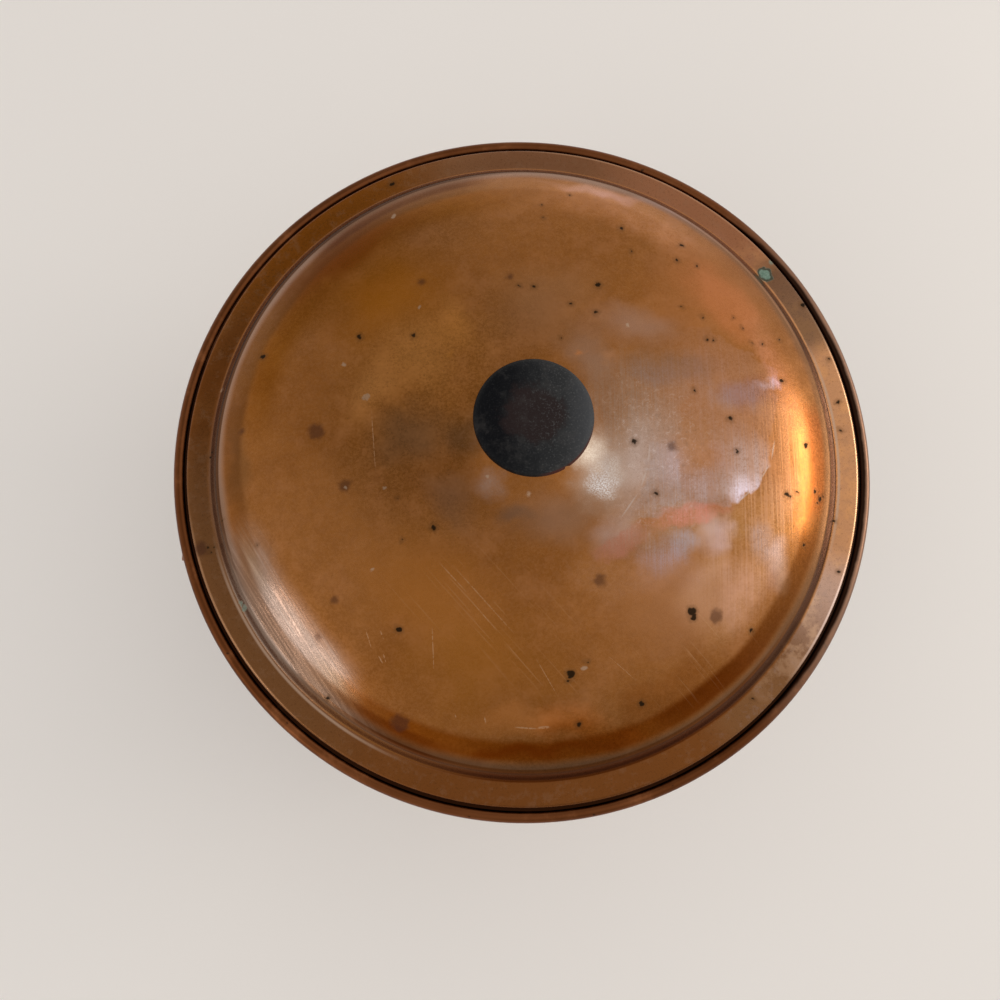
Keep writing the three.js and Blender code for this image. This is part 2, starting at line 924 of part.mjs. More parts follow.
function sleeve() {
  const ring = revolve(
    [
      [sleeveInner, sleeveBottom],
      [sleeveOuter, sleeveBottom],
      [sleeveOuter, sleeveTop],
      [sleeveInner, sleeveTop],
    ],
    turnedSides,
  );
  return joinAndCut([ring], airHoleCuts(collarRadius + overrun));
}

function lever() {
  const from = [sleeveOuter + gap, 0, sleeveMiddle];
  const bar = rod(from, [leverReach, 0, sleeveMiddle], leverRadius, wireSides);
  return bar.rotateZ(degrees(leverAngle));
}

function leverGrip() {
  const r = leverGripRadius;
  const side = arcPoints([0, 0], r, spread(-90, 90, gripSteps).slice(1, -1));
  const ball = revolve([[0, -r], ...side, [0, r]], smallSides);
  return ball
    .rotateY(Math.PI / 2)
    .translate(leverReach + gap + r, 0, sleeveMiddle)
    .rotateZ(degrees(leverAngle));
}

addPiece("lamp_reservoir", reservoir(), brass);
addPiece("fuel_packing", packing(), cotton);
addPiece("lamp_top", lampTop(), brass);
addPiece("filler_neck", fillerNeck(), brass);
addPiece("burner_tube", burnerTube(), brass);
addPiece("wick", wick(), cotton);
addPiece("wick_gauze", gauze(), brass);
addPiece("regulator_sleeve", sleeve(), brass);
addPiece("regulator_lever", lever(), brass);
addPiece("regulator_grip", leverGrip(), ebonisedWood);

// Snuffer cap with its knuckle, the bracket on the burner's bead, and the pin through both
const hingeY = collarRadius + hingeOffset;
const capBottom = beadTop + gap;
const hingeZ = capBottom + capArmHeight / 2;
const capInner = burnerRadius + 2 * gap;
const capOuter = capInner + capWall;
const capTop = capBottom + capHeight;

function snufferCap() {
  const domeFoot = capTop - capDomeRise;
  const shell = revolve(
    [
      [capInner, capBottom],
      [capOuter, capBottom],
      [capOuter, domeFoot],
      ...capDomeShares.map(([r, z]) => [capOuter * r, domeFoot + capDomeRise * z]),
      [0, capTop],
      [0, capTop - capWall],
      [capInner * capInsideShare, domeFoot],
      [capInner, domeFoot - capWall],
    ],
    turnedSides,
  );
  const armFrom = capInner + capWall / 4;
  const arm = box(
    [knuckleWidth, hingeY - armFrom, capArmHeight],
    [0, (hingeY + armFrom) / 2, hingeZ],
  );
  const knuckle = rod(
    [-knuckleWidth / 2, hingeY, hingeZ],
    [knuckleWidth / 2, hingeY, hingeZ],
    knuckleRadius,
    smallSides,
  );
  return joinAndCut([shell, arm, knuckle], [hingeBore()]);
}

function hingeBore() {
  const reach = knuckleWidth / 2 + bracketEar + overrun;
  const radius = hingePinRadius + pivotClearance;
  return rod([-reach, hingeY, hingeZ], [reach, hingeY, hingeZ], radius, smallSides);
}

function snufferBracket() {
  const inside = knuckleWidth / 2 + gap;
  const front = collarRadius + gap;
  const back = hingeY + knuckleRadius;
  const earTop = hingeZ + knuckleRadius;
  const floorTop = hingeZ - knuckleRadius - gap;
  const floorLow = floorTop - bracketFloor;
  const depth = back - front;
  const ears = [-1, 1].map((side) =>
    box(
      [bracketEar, depth, earTop - floorLow],
      [side * (inside + bracketEar / 2), (front + back) / 2, (earTop + floorLow) / 2],
    ),
  );
  const floor = box(
    [2 * inside + bracketEar, depth, bracketFloor],
    [0, (front + back) / 2, (floorTop + floorLow) / 2],
  );
  return joinAndCut([...ears, floor], [hingeBore()]);
}

function snufferPin() {
  const half = knuckleWidth / 2 + gap + bracketEar + gap;
  return rod([-half, hingeY, hingeZ], [half, hingeY, hingeZ], hingePinRadius, smallSides);
}

function snufferKnob() {
  const low = capTop + gap;
  const height = 2 * snufferKnobRadius;
  const side = snufferKnobShares.map(([r, z]) => [snufferKnobRadius * r, low + height * z]);
  return revolve([[0, low], ...side, [0, low + height]], smallSides);
}

addPiece("snuffer_cap", snufferCap(), brass);
addPiece("snuffer_knob", snufferKnob(), brass);
addPiece("snuffer_bracket", snufferBracket(), brass);
addPiece("snuffer_pin", snufferPin(), steel);

// Filler cap and its gasket
const gasketBottom = neckTop + gap;
const capInsideTop = gasketBottom + gasketThickness + gap;

function fillerCap() {
  const inner = neckRadius + gap;
  const outer = inner + fillerCapWall;
  const cap = revolve(
    [
      [0, capInsideTop],
      [inner, capInsideTop],
      [inner, neckTop - fillerCapSkirt],
      [outer, neckTop - fillerCapSkirt],
      [outer, capInsideTop + fillerCapWall * fillerCapEdgeShare],
      [outer - fillerCapWall * fillerCapEdgeShare, capInsideTop + fillerCapWall],
      [0, capInsideTop + fillerCapWall],
    ],
    smallSides,
  );
  return cap.translate(-fillerPlace, 0, 0);
}

function fillerGasket() {
  const radius = neckRadius - gap;
  const top = gasketBottom + gasketThickness;
  const disc = revolve([[0, gasketBottom], [radius, gasketBottom], [radius, top], [0, top]], smallSides);
  return disc.translate(-fillerPlace, 0, 0);
}

addPiece("filler_cap", fillerCap(), brass);
addPiece("filler_gasket", fillerGasket(), cork);

export default dish;
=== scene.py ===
# %% [markdown]
# # A copper chafing dish, dressed for its portrait
# The frame holds the real sizes of forty separate pieces. This lesson gives each of them the surface
# that a spinner, a brazier and a wood turner leave, and then a hundred years of use. It starts with
# the frame, the view and the light, because metal looks like what it mirrors. Helpers come next,
# then the finishes, then the pieces from the lid down to the lamp.

# %% Load the frame
import math
import json
from functools import reduce
import bmesh
import bpy
import numpy as np
from mathutils import Matrix, Vector

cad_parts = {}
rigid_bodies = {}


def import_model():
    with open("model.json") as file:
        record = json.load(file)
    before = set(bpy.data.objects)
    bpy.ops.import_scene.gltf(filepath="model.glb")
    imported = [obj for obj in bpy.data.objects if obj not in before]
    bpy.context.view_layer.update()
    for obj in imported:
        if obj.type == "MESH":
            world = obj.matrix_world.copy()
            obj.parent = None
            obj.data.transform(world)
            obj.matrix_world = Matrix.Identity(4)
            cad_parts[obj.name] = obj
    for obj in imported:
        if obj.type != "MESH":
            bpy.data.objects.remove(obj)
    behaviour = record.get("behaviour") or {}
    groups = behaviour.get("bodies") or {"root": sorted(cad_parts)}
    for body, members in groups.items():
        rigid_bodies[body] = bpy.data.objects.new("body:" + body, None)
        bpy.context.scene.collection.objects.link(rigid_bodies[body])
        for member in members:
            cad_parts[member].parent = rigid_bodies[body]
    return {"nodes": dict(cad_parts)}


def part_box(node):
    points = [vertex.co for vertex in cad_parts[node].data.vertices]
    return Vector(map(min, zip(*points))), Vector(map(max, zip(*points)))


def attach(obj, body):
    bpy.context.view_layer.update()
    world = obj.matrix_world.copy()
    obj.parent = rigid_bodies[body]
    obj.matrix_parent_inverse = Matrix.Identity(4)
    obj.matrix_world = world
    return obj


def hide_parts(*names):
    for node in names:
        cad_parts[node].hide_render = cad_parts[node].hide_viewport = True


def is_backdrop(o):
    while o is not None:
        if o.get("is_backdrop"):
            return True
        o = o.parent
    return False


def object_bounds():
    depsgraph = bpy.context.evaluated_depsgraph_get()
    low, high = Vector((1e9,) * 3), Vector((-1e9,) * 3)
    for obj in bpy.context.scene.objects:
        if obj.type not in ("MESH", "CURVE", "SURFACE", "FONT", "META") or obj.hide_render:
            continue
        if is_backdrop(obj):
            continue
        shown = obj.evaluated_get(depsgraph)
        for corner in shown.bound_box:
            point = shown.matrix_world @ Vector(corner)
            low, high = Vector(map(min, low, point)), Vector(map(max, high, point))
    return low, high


for thing in list(bpy.data.objects):
    bpy.data.objects.remove(thing)
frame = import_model()
cad_low, cad_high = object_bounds()
scene = bpy.context.scene
MM = 0.001
TO_MM = 1 / MM

# %% [markdown]
# ## View and light
# The photograph was taken by hand from just above the knob, leaning back a little. The camera
# stands there, a third of a metre over the lid's flange. Polished metal has no look of its own, so
# the light is built first: a pale floor, a room that is bright low down and dim overhead, one
# window to the right and a weaker one at the lower left, where the lid shows its two glints.
# The room and every finish are node trees, and a tree reads better when each node is one line. So
# one class adds a node, fills its sockets with numbers or with other nodes' outputs, and hands
# back the output.

# %% Camera
LENS = 27.04
SENSOR = 36.0
VIEWPOINT = (-0.018065, -0.078498, 0.5221)
TILT = (10.0007, -1.1729, -0.0691)
PICTURE_SIDE = 1000
camera_data = bpy.data.cameras.new("view_from_above")
camera_data.lens = LENS
camera_data.sensor_width = SENSOR
camera = bpy.data.objects.new("view_from_above", camera_data)
camera.location = VIEWPOINT
camera.rotation_euler = [math.radians(angle) for angle in TILT]
scene.collection.objects.link(camera)
scene.camera = camera
scene.view_settings.view_transform = "Standard"
focal_pixels = camera_data.lens / camera_data.sensor_width * PICTURE_SIDE
print("focal length in pixels:", round(focal_pixels, 1))


# %% A node tree under construction
class Nodes:
    """A node tree under construction: each call adds a node and gives back one of its outputs."""

    def __init__(self, tree):
        self.tree = tree
        self.tree.nodes.clear()

    def add(self, kind, inputs=None, output=0, **settings):
        """Adds a node. A kind that names no family of nodes is a shader node."""
        made = self.tree.nodes.new(kind if "Node" in kind else "ShaderNode" + kind)
        for name, value in settings.items():
            setattr(made, name, value)
        for name, value in (inputs or {}).items():
            if isinstance(value, bpy.types.NodeSocket):
                self.tree.links.new(value, made.inputs[name])
            else:
                made.inputs[name].default_value = value
        return made.outputs[output]

    def math(self, operation, a, b=0.0, clamp=False):
        return self.add("Math", {0: a, 1: b}, operation=operation, use_clamp=clamp)

    def plus(self, a, b):
        return self.math("ADD", a, b)

    def minus(self, a, b, clamp=False):
        return self.math("SUBTRACT", a, b, clamp)

    def times(self, a, b):
        return self.math("MULTIPLY", a, b)

    def over(self, a, b, clamp=False):
        return self.math("DIVIDE", a, b, clamp)

    def most(self, a, b):
        return self.math("MAXIMUM", a, b)

    def least(self, a, b):
        return self.math("MINIMUM", a, b)

    def between(self, value, low, high, out_low=0.0, out_high=1.0, smooth=True):
        sockets = {"Value": value, "From Min": low, "From Max": high}
        sockets.update({"To Min": out_low, "To Max": out_high})
        kind = "SMOOTHSTEP" if smooth else "LINEAR"
        return self.add("MapRange", sockets, interpolation_type=kind)

    def mix(self, factor, a, b, mode="MIX"):
        return self.add("Mix", {0: factor, 6: a, 7: b}, 2, data_type="RGBA", blend_type=mode)

    def end(self, kind, value):
        """Links the last value to the tree's output node."""
        self.tree.links.new(value, self.tree.nodes.new(kind).inputs[0])


# %% Colours and directions
def srgb(red, green, blue, alpha=1.0):
    """A screen colour from 0 to 255 as Blender's linear colour."""
    def linear(c):
        c = c / 255
        return c / 12.92 if c <= 0.04045 else ((c + 0.055) / 1.055) ** 2.4
    return (linear(red), linear(green), linear(blue), alpha)


def towards(azimuth, from_zenith):
    """A direction in space, by its azimuth from +X and its angle from straight up."""
    lean = math.radians(from_zenith)
    turn = math.radians(azimuth)
    return Vector((math.sin(lean) * math.cos(turn), math.sin(lean) * math.sin(turn), math.cos(lean)))


print("halfway from black to white on a screen is", round(srgb(128, 128, 128)[0], 3), "in light")


# %% Room
def room(low_colour, high_colour, low, high, spots):
    """A world of one colour near the horizon and another overhead, with soft bright or dim areas."""
    world = bpy.data.worlds.new("room")
    world.use_nodes = True
    sky = Nodes(world.node_tree)
    direction = sky.add("TexCoord", output="Generated")
    height = sky.add("SeparateXYZ", {0: direction}, "Z")
    colour = sky.mix(sky.between(height, low, high), low_colour, high_colour)
    strength = None
    for azimuth, from_zenith, core, edge, gain in spots:
        middle = towards(azimuth, from_zenith)
        likeness = sky.add("VectorMath", {0: direction, 1: middle}, 1, operation="DOT_PRODUCT")
        edges = (math.cos(math.radians(edge)), math.cos(math.radians(core)))
        factor = sky.between(likeness, *edges, 1.0, gain)
        strength = sky.times(strength, factor) if strength else factor
    sky.end("ShaderNodeOutputWorld", sky.add("Background", {"Color": colour, "Strength": strength}))
    return world


# An area: azimuth, angle from straight up, its bright core, where it ends, and its gain.
room_areas = [
    (12, 42, 10, 45, 1.35),
    (118, 22, 6, 20, 0.45),
    (-75, 68, 10, 30, 0.6),
    (118, 64, 8, 28, 0.6),
]
low_walls = srgb(253, 251, 249)
ceiling = srgb(219, 217, 215)
scene.world = room(low_walls, ceiling, 0.1, 0.6, room_areas)
print("areas of the room:", len(room_areas))


# %% Lamps
def lamp(name, azimuth, from_zenith, distance, width, height, watts, colour):
    """A soft rectangular lamp, by the direction in which it stands as seen from the lid."""
    data = bpy.data.lights.new(name, "AREA")
    data.shape = "RECTANGLE"
    data.size = width
    data.size_y = height
    data.energy = watts
    data.color = colour[:3]
    lamp_object = bpy.data.objects.new(name, data)
    away = towards(azimuth, from_zenith)
    lamp_object.location = Vector((0, 0, cad_high.z)) + away * distance
    lamp_object.rotation_euler = away.to_track_quat("Z", "Y").to_euler()
    scene.collection.objects.link(lamp_object)
    return lamp_object


lamp("window_right", azimuth=9, from_zenith=71, distance=1.5, width=0.68, height=0.2, watts=3.6,
     colour=srgb(255, 246, 234))
lamp("window_lower_left", azimuth=-146, from_zenith=61, distance=1.5, width=0.7, height=0.09,
     watts=0.98, colour=srgb(255, 250, 246))

# %% [markdown]
# ## Tools for finishes
# A finish is a material's node tree, with the noises and masks that old metal and wood need. All
# of it is placed in Object coordinates, because each piece is modelled where it stands, and a
# pattern then stays on its metal when a joint moves it.

# %% A finish under construction
class Finish(Nodes):
    """A material under construction."""

    def __init__(self, name):
        self.material = bpy.data.materials.new(name)
        self.material.use_nodes = True
        super().__init__(self.material.node_tree)
        self.place = self.add("TexCoord", output="Object")

    def noise(self, scale, detail=4.0, roughness=0.55, distortion=0.0, at=None):
        sockets = {"Vector": at or self.place, "Scale": scale, "Detail": detail}
        sockets.update({"Roughness": roughness, "Distortion": distortion})
        return self.add("TexNoise", sockets)

    def moved(self, rotation=(0, 0, 0), scale=(1, 1, 1), kind="POINT"):
        sockets = {"Vector": self.place, "Rotation": rotation, "Scale": scale}
        return self.add("Mapping", sockets, vector_type=kind)

    def vector(self, operation, a, b=(0, 0, 0), output=0):
        return self.add("VectorMath", {0: a, 1: b}, output, operation=operation)

    def blend(self, factor, a, b):
        return self.add("Mix", {0: factor, 2: a, 3: b}, 0, data_type="FLOAT")

    def facing(self, azimuth, low=-0.2, high=0.9):
        """1 on the side of a round piece at this azimuth, 0 on the far side."""
        turn = math.radians(azimuth)
        outwards = self.vector("NORMALIZE", self.vector("MULTIPLY", self.place, (1, 1, 0)))
        cosine = self.vector("DOT_PRODUCT", outwards, (math.cos(turn), math.sin(turn), 0), output=1)
        return self.between(cosine, low, high)

    def from_axis(self):
        """Distance from the dish's upright axis, in millimetres."""
        return self.vector("LENGTH", self.vector("MULTIPLY", self.place, (TO_MM, TO_MM, 0)), output=1)

    def bump(self, height, strength, distance):
        return self.add("Bump", {"Height": height, "Strength": strength, "Distance": distance})

    def surface(self, **sockets):
        """Ends the tree in a Principled shader, whose sockets are named with underscores."""
        shader = self.add("BsdfPrincipled", {k.replace("_", " "): v for k, v in sockets.items()})
        self.end("ShaderNodeOutputMaterial", shader)
        return self.material


# %% [markdown]
# ## Aged copper and brass
# Spun sheet carries fine rings from the tool, then a patina that clouds it in patches, then rubbing
# that brightens what stands out. One function makes that for all the plainer metal of the dish. The
# lid is nearly the whole picture, so it gets a finish of its own further down.

# %% A function for aged metal
def aged_metal(name, dark, middle, bright, roughness, rings=0.0, patch=1.0, grime_and_shade=()):
    """Patinated sheet or bar: clouds in three tones, fine grain, and rings of the spinning tool."""
    f = Finish(name)
    clouds = f.noise(9 * patch, 5, 0.6, 0.6)
    flecks = f.noise(70 * patch, 6, 0.65)
    grain = f.noise(900, 3, 0.6)
    tone = f.mix(f.between(clouds, 0.36, 0.64), dark, middle)
    tone = f.mix(f.times(f.between(flecks, 0.52, 0.72), 0.55), tone, bright)
    pits = f.between(f.noise(260, 2, 0.5), 0.69, 0.76)
    tone = f.mix(f.times(pits, 0.7), tone, (0.02, 0.012, 0.008, 1))
    if grime_and_shade:
        reach = grime_and_shade[0]
        for azimuth, low, high, other_reach in grime_and_shade[1:]:
            reach = f.blend(f.facing(azimuth, low, high), reach, other_reach)
        ragged_edge = f.plus(f.from_axis(), f.between(flecks, 0.3, 0.7, -0.25, 0.25))
        past_it = f.minus(ragged_edge, reach)
        # Painted light: the rim is lighter on its right side, towards the window.
        tone = f.mix(f.times(f.facing(0, 0.6, 0.95), 0.6), tone, (0.36, 0.22, 0.15, 1))
        # Painted shade, with dirt: nearly black up to the reach, in the gap under the lid's hem.
        tone = f.mix(f.between(past_it, 0.9, -0.3, 0.0, 0.94), tone, (0.016, 0.005, 0.002, 1))
    spun = f.add("TexNoise", {"W": f.times(f.from_axis(), 1.5), "Scale": 1.0, "Detail": 2.0},
                 noise_dimensions="1D")
    height = f.plus(f.times(spun, rings), f.times(grain, 0.25))
    height = f.plus(height, f.times(flecks, 0.5))
    rough = f.between(clouds, 0.3, 0.7, roughness + 0.07, roughness - 0.05)
    rough = f.plus(rough, f.between(flecks, 0.4, 0.7, -0.03, 0.05))
    return f.surface(Base_Color=tone, Metallic=1.0, Roughness=rough,
                     Normal=f.bump(height, 0.12, 0.0004))


pan_tones = (srgb(118, 68, 32), srgb(146, 86, 44), srgb(184, 114, 66))
rim_tones = (srgb(92, 50, 24), srgb(116, 68, 38), srgb(150, 94, 58))
stand_tones = (srgb(104, 61, 32), srgb(134, 79, 42), srgb(172, 108, 64))
brass_tones = (srgb(116, 88, 40), srgb(152, 118, 60), srgb(194, 160, 96))
tin_tones = (srgb(120, 116, 110), srgb(158, 155, 150), srgb(190, 188, 184))
steel_tones = (srgb(92, 90, 88), srgb(132, 130, 128), srgb(170, 168, 166))
pan_copper = aged_metal("old_pan_copper", *pan_tones, roughness=0.33, rings=0.5)
# Grime and painted shade of the gap under the lid's hem fill the rim up to a radius in mm, which is
# another one on the sides at these azimuths.
grime_and_shade_by_side = (151.9, (105, 0.3, 0.8, 150.9), (0, 0.55, 0.9, 153.4))
rim_copper = aged_metal("old_rim_copper", *rim_tones, roughness=0.33, rings=0.5, grime_and_shade=grime_and_shade_by_side)
stand_copper = aged_metal("old_stand_copper", *stand_tones, roughness=0.36, patch=1.6)
lamp_brass = aged_metal("old_lamp_brass", *brass_tones, roughness=0.33, rings=0.5, patch=2)
tin_lining = aged_metal("tin_lining", *tin_tones, roughness=0.4, rings=0.6)
dull_steel = aged_metal("dull_steel", *steel_tones, roughness=0.36, patch=4)
print("metals:", [m.name for m in bpy.data.materials])


# %% [markdown]
# ## Wood, cotton and cork
# The grips and the feet are turned wood, stained black and waxed. The stain sits in the grain and
# the wax has gone from what hands touch, so the colour lifts a little in streaks along the grain.
# A picture of grain would show a seam on a turned piece, so the grain is noise in space, stretched
# along the piece. Wick and packing are cotton, and the washer in the filler cap is pressed cork.

# %% Black turned wood
def ebonised_wood(name, along="X"):
    """Black stained wood with its grain along one axis."""
    f = Finish(name)
    squeeze = {"X": (30, 260, 260), "Y": (260, 30, 260), "Z": (260, 260, 30)}[along]
    grain = f.noise(1.0, 5, 0.6, 0.4, f.moved(scale=squeeze))
    worn = f.noise(60, 4, 0.6)
    tone = f.mix(f.between(grain, 0.45, 0.75), srgb(22, 20, 20), srgb(48, 38, 33))
    tone = f.mix(f.times(f.between(worn, 0.55, 0.75), 0.5), tone, srgb(70, 62, 58))
    rough = f.between(worn, 0.35, 0.7, 0.32, 0.5)
    height = f.plus(grain, f.times(worn, 0.3))
    return f.surface(Base_Color=tone, Roughness=rough, Specular_IOR_Level=0.25,
                     Normal=f.bump(height, 0.25, 0.0003))


# %% Cotton and cork
def soft_fibre(name, pale, shade, scale):
    """Matt fibres or grains: two tones with a rough surface."""
    f = Finish(name)
    strands = f.noise(scale, 6, 0.7, 1.2)
    tone = f.mix(f.between(strands, 0.35, 0.65), shade, pale)
    return f.surface(Base_Color=tone, Roughness=0.92, Normal=f.bump(strands, 0.6, 0.0005))


grip_wood = ebonised_wood("grip_wood", "Y")
foot_wood = ebonised_wood("foot_wood", "Z")
cotton = soft_fibre("cotton", srgb(214, 205, 184), srgb(158, 146, 122), 900)
cork = soft_fibre("cork", srgb(178, 132, 84), srgb(118, 78, 44), 500)
print("finishes so far:", len(bpy.data.materials))

# %% [markdown]
# ## Tools for shapes
# Almost every piece is either turned about an axis or swept along a line. So there are two makers of
# meshes: a lathe, which takes half a section, and a sweep, which takes rings of points. Sizes are
# written in millimetres, as a workshop would, and become metres when the mesh is finished. Edges are
# marked sharp past a chosen angle, and faces are turned to point outwards.

# %% Arcs and eased corners
SPUN_SIDES = 256
TURNED_SIDES = 96
SMALL_SIDES = 48


def arc(centre, radius, first, last, steps):
    """Points of an arc, with its first and last angles in degrees."""
    angles = np.radians(np.linspace(first, last, steps + 1))
    return [(centre[0] + radius * math.cos(a), centre[1] + radius * math.sin(a)) for a in angles]


def softened(points, radius, steps=4, closed=True):
    """The same outline with each corner eased by a short curve."""
    made = []
    count = len(points)
    for i, corner in enumerate(points):
        if not closed and i in (0, count - 1) or corner[0] == 0:
            made.append(tuple(corner))
            continue
        corner = np.array(corner, float)
        before = np.array(points[i - 1], float) - corner
        after = np.array(points[(i + 1) % count], float) - corner
        reach = min(radius, 0.45 * np.linalg.norm(before), 0.45 * np.linalg.norm(after))
        start = corner + before / np.linalg.norm(before) * reach
        end = corner + after / np.linalg.norm(after) * reach
        for t in np.linspace(0, 1, steps + 1):
            made.append(tuple((1 - t) ** 2 * start + 2 * t * (1 - t) * corner + t ** 2 * end))
    return made


print("an eased square has", len(softened([(1, 0), (2, 0), (2, 1), (1, 1)], 0.2)), "points")


# %% Smooth lines and offset skins
def smooth_line(points, steps):
    """A curve through all the points, with evenly spaced points of its own."""
    p = np.array(points, float)
    p = np.vstack([2 * p[0] - p[1], p, 2 * p[-1] - p[-2]])
    fine = []
    for i in range(1, len(p) - 2):
        for t in np.linspace(0, 1, 24, endpoint=False):
            a = 2 * p[i] + (p[i + 1] - p[i - 1]) * t
            b = (2 * p[i - 1] - 5 * p[i] + 4 * p[i + 1] - p[i + 2]) * t ** 2
            c = (3 * p[i] - p[i - 1] - 3 * p[i + 1] + p[i + 2]) * t ** 3
            fine.append((a + b + c) / 2)
    fine = np.array(fine + [p[-2]])
    length = np.concatenate([[0], np.cumsum(np.linalg.norm(np.diff(fine, axis=0), axis=1))])
    places = np.linspace(0, length[-1], steps + 1)
    return [tuple(q) for q in np.stack([np.interp(places, length, c) for c in fine.T], 1)]


def offset_skin(skin, thickness):
    """An open line moved sideways, to the left of its direction of travel."""
    line = np.array(skin, float)
    run = np.diff(line, axis=0)
    run /= np.linalg.norm(run, axis=1)[:, None]
    side = np.stack([-run[:, 1], run[:, 0]], 1)
    before = np.vstack([side[:1], side])
    after = np.vstack([side, side[-1:]])
    mitre = before + after
    mitre /= np.linalg.norm(mitre, axis=1)[:, None]
    reach = thickness / np.maximum((mitre * after).sum(1), 0.3)
    return [tuple(p) for p in line + mitre * reach[:, None]]


print("a flat skin set off by 1 mm lies at", float(offset_skin([(0, 0), (4, 0)], 1)[0][1]), "mm")


# %% From faces to a finished piece
def finish_mesh(name, bm, crease=35, unit=MM):
    """Makes the object, with faces outwards and edges sharp past the crease angle."""
    bmesh.ops.remove_doubles(bm, verts=bm.verts, dist=1e-7 / unit)
    bmesh.ops.scale(bm, vec=(unit,) * 3, verts=bm.verts)
    if bm.calc_volume(signed=True) < 0:
        bmesh.ops.reverse_faces(bm, faces=bm.faces)
    limit = math.radians(crease)
    for face in bm.faces:
        face.smooth = True
    for edge in bm.edges:
        edge.smooth = len(edge.link_faces) == 2 and edge.calc_face_angle(0) < limit
    mesh = bpy.data.meshes.new(name)
    bm.to_mesh(mesh)
    bm.free()
    piece = bpy.data.objects.new(name, mesh)
    scene.collection.objects.link(piece)
    return piece


# %% A lathe
def lathe(name, outline, sides=SPUN_SIDES, crease=35):
    """Revolves a closed outline of radius and height about Z."""
    turn = np.linspace(0, 2 * math.pi, sides, endpoint=False)
    bm = bmesh.new()
    grid = []
    for radius, height in outline:
        if radius < 1e-6:
            grid.append([bm.verts.new((0, 0, height))] * sides)
        else:
            grid.append([bm.verts.new((radius * math.cos(a), radius * math.sin(a), height)) for a in turn])
    for i, low in enumerate(grid):
        high = grid[(i + 1) % len(grid)]
        for j in range(sides):
            k = (j + 1) % sides
            corners = list(dict.fromkeys((low[j], low[k], high[k], high[j])))
            if len(corners) > 2:
                bm.faces.new(corners)
    return finish_mesh(name, bm, crease)


print("a spun rim strays from round by", round(150 * (1 - math.cos(math.pi / SPUN_SIDES)), 3), "mm")


# %% Sweeps and tubes
def sweep(name, rings, crease=35):
    """A skin over rings of points, capped at both ends."""
    bm = bmesh.new()
    grid = [[bm.verts.new(p) for p in ring] for ring in rings]
    for low, high in zip(grid, grid[1:]):
        for j in range(len(low)):
            k = (j + 1) % len(low)
            bm.faces.new((low[j], low[k], high[k], high[j]))
    bm.faces.new(reversed(grid[0]))
    bm.faces.new(grid[-1])
    return finish_mesh(name, bm, crease)


def tube(name, path, radii, sides=16, crease=35):
    """A round bar along a path of points in space; its radius may change on the way."""
    line = [Vector(p) for p in path]
    radii = radii if hasattr(radii, "__len__") else [radii] * len(line)
    side = Vector((0, 0, 1)).cross(line[1] - line[0])
    side = side if side.length > 1e-6 else Vector((1, 0, 0))
    rings = []
    for i, point in enumerate(line):
        along = (line[min(i + 1, len(line) - 1)] - line[max(i - 1, 0)]).normalized()
        side = (side - along * side.dot(along)).normalized()
        up = along.cross(side)
        turn = np.linspace(0, 2 * math.pi, sides, endpoint=False)
        rings.append([point + radii[i] * (math.cos(a) * side + math.sin(a) * up) for a in turn])
    return sweep(name, rings, crease)


# %% Placing and joining
def placed(piece, turn=0.0, shift=(0, 0, 0), lean=None):
    """Leans, shifts and then turns a mesh about Z; the object itself stays at the origin."""
    move = Matrix.Translation(Vector(shift) * MM)
    if lean:
        move = move @ Matrix.Rotation(math.radians(lean[0]), 4, lean[1])
    piece.data.transform(Matrix.Rotation(math.radians(turn), 4, "Z") @ move)
    return piece


def joined(name, parts, crease=35):
    """One piece from several meshes."""
    bm = bmesh.new()
    for part in parts:
        bm.from_mesh(part.data)
        bpy.data.objects.remove(part)
    return finish_mesh(name, bm, crease, unit=1.0)


def made_plain(piece):
    """Swaps the mesh for what the modifiers make of it, and takes the modifiers off."""
    graph = bpy.context.evaluated_depsgraph_get()
    mesh = bpy.data.meshes.new_from_object(piece.evaluated_get(graph))
    piece.modifiers.clear()
    mesh.name = piece.name
    piece.data = mesh
    return piece


# %% Boring
def bored(piece, cutters, crease=35):
    """Cuts round holes or slots out of a piece."""
    for cutter in cutters:
        cut = piece.modifiers.new("cut", "BOOLEAN")
        cut.operation = "DIFFERENCE"
        cut.solver = "EXACT"
        cut.object = cutter
    made_plain(piece)
    for cutter in cutters:
        bpy.data.objects.remove(cutter)
    return joined(piece.name, [piece], crease)


# %% Settling a piece on its body
def settle(piece, body, slot, finish, *nodes):
    """Gives a piece its finish, the body that it rides on and the nodes that it stands for."""
    if not piece.data.materials:
        piece.data.materials.append(finish)
    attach(piece, body)
    report = f"{piece.name}: {len(piece.data.polygons)} faces on {body}"
    if nodes:
        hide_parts(*nodes)
        corners = np.array([v.co for v in piece.data.vertices])
        boxes = [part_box(n) for n in nodes]
        low = np.min([b[0] for b in boxes], 0)
        high = np.max([b[1] for b in boxes], 0)
        apart = max(abs(corners.min(0) - low).max(), abs(corners.max(0) - high).max())
        report += f", {apart / MM:.1f} mm from its solid's box"
    print(report)
    return piece


def keep_solid(node, finish):
    """A solid of the frame whose shape is right keeps it and only gets a finish."""
    for slot in frame["nodes"][node].material_slots:
        slot.material = finish
    print(node, "keeps its shape")


# %% [markdown]
# ## Geometry Nodes for rules and repeats
# The lid's crown follows one formula, and rivets, gauze and knurling are one small shape many times
# over. Those are jobs for Geometry Nodes. The class builds a tree with named sizes, and the
# function grows a mesh through it and keeps the plain result.

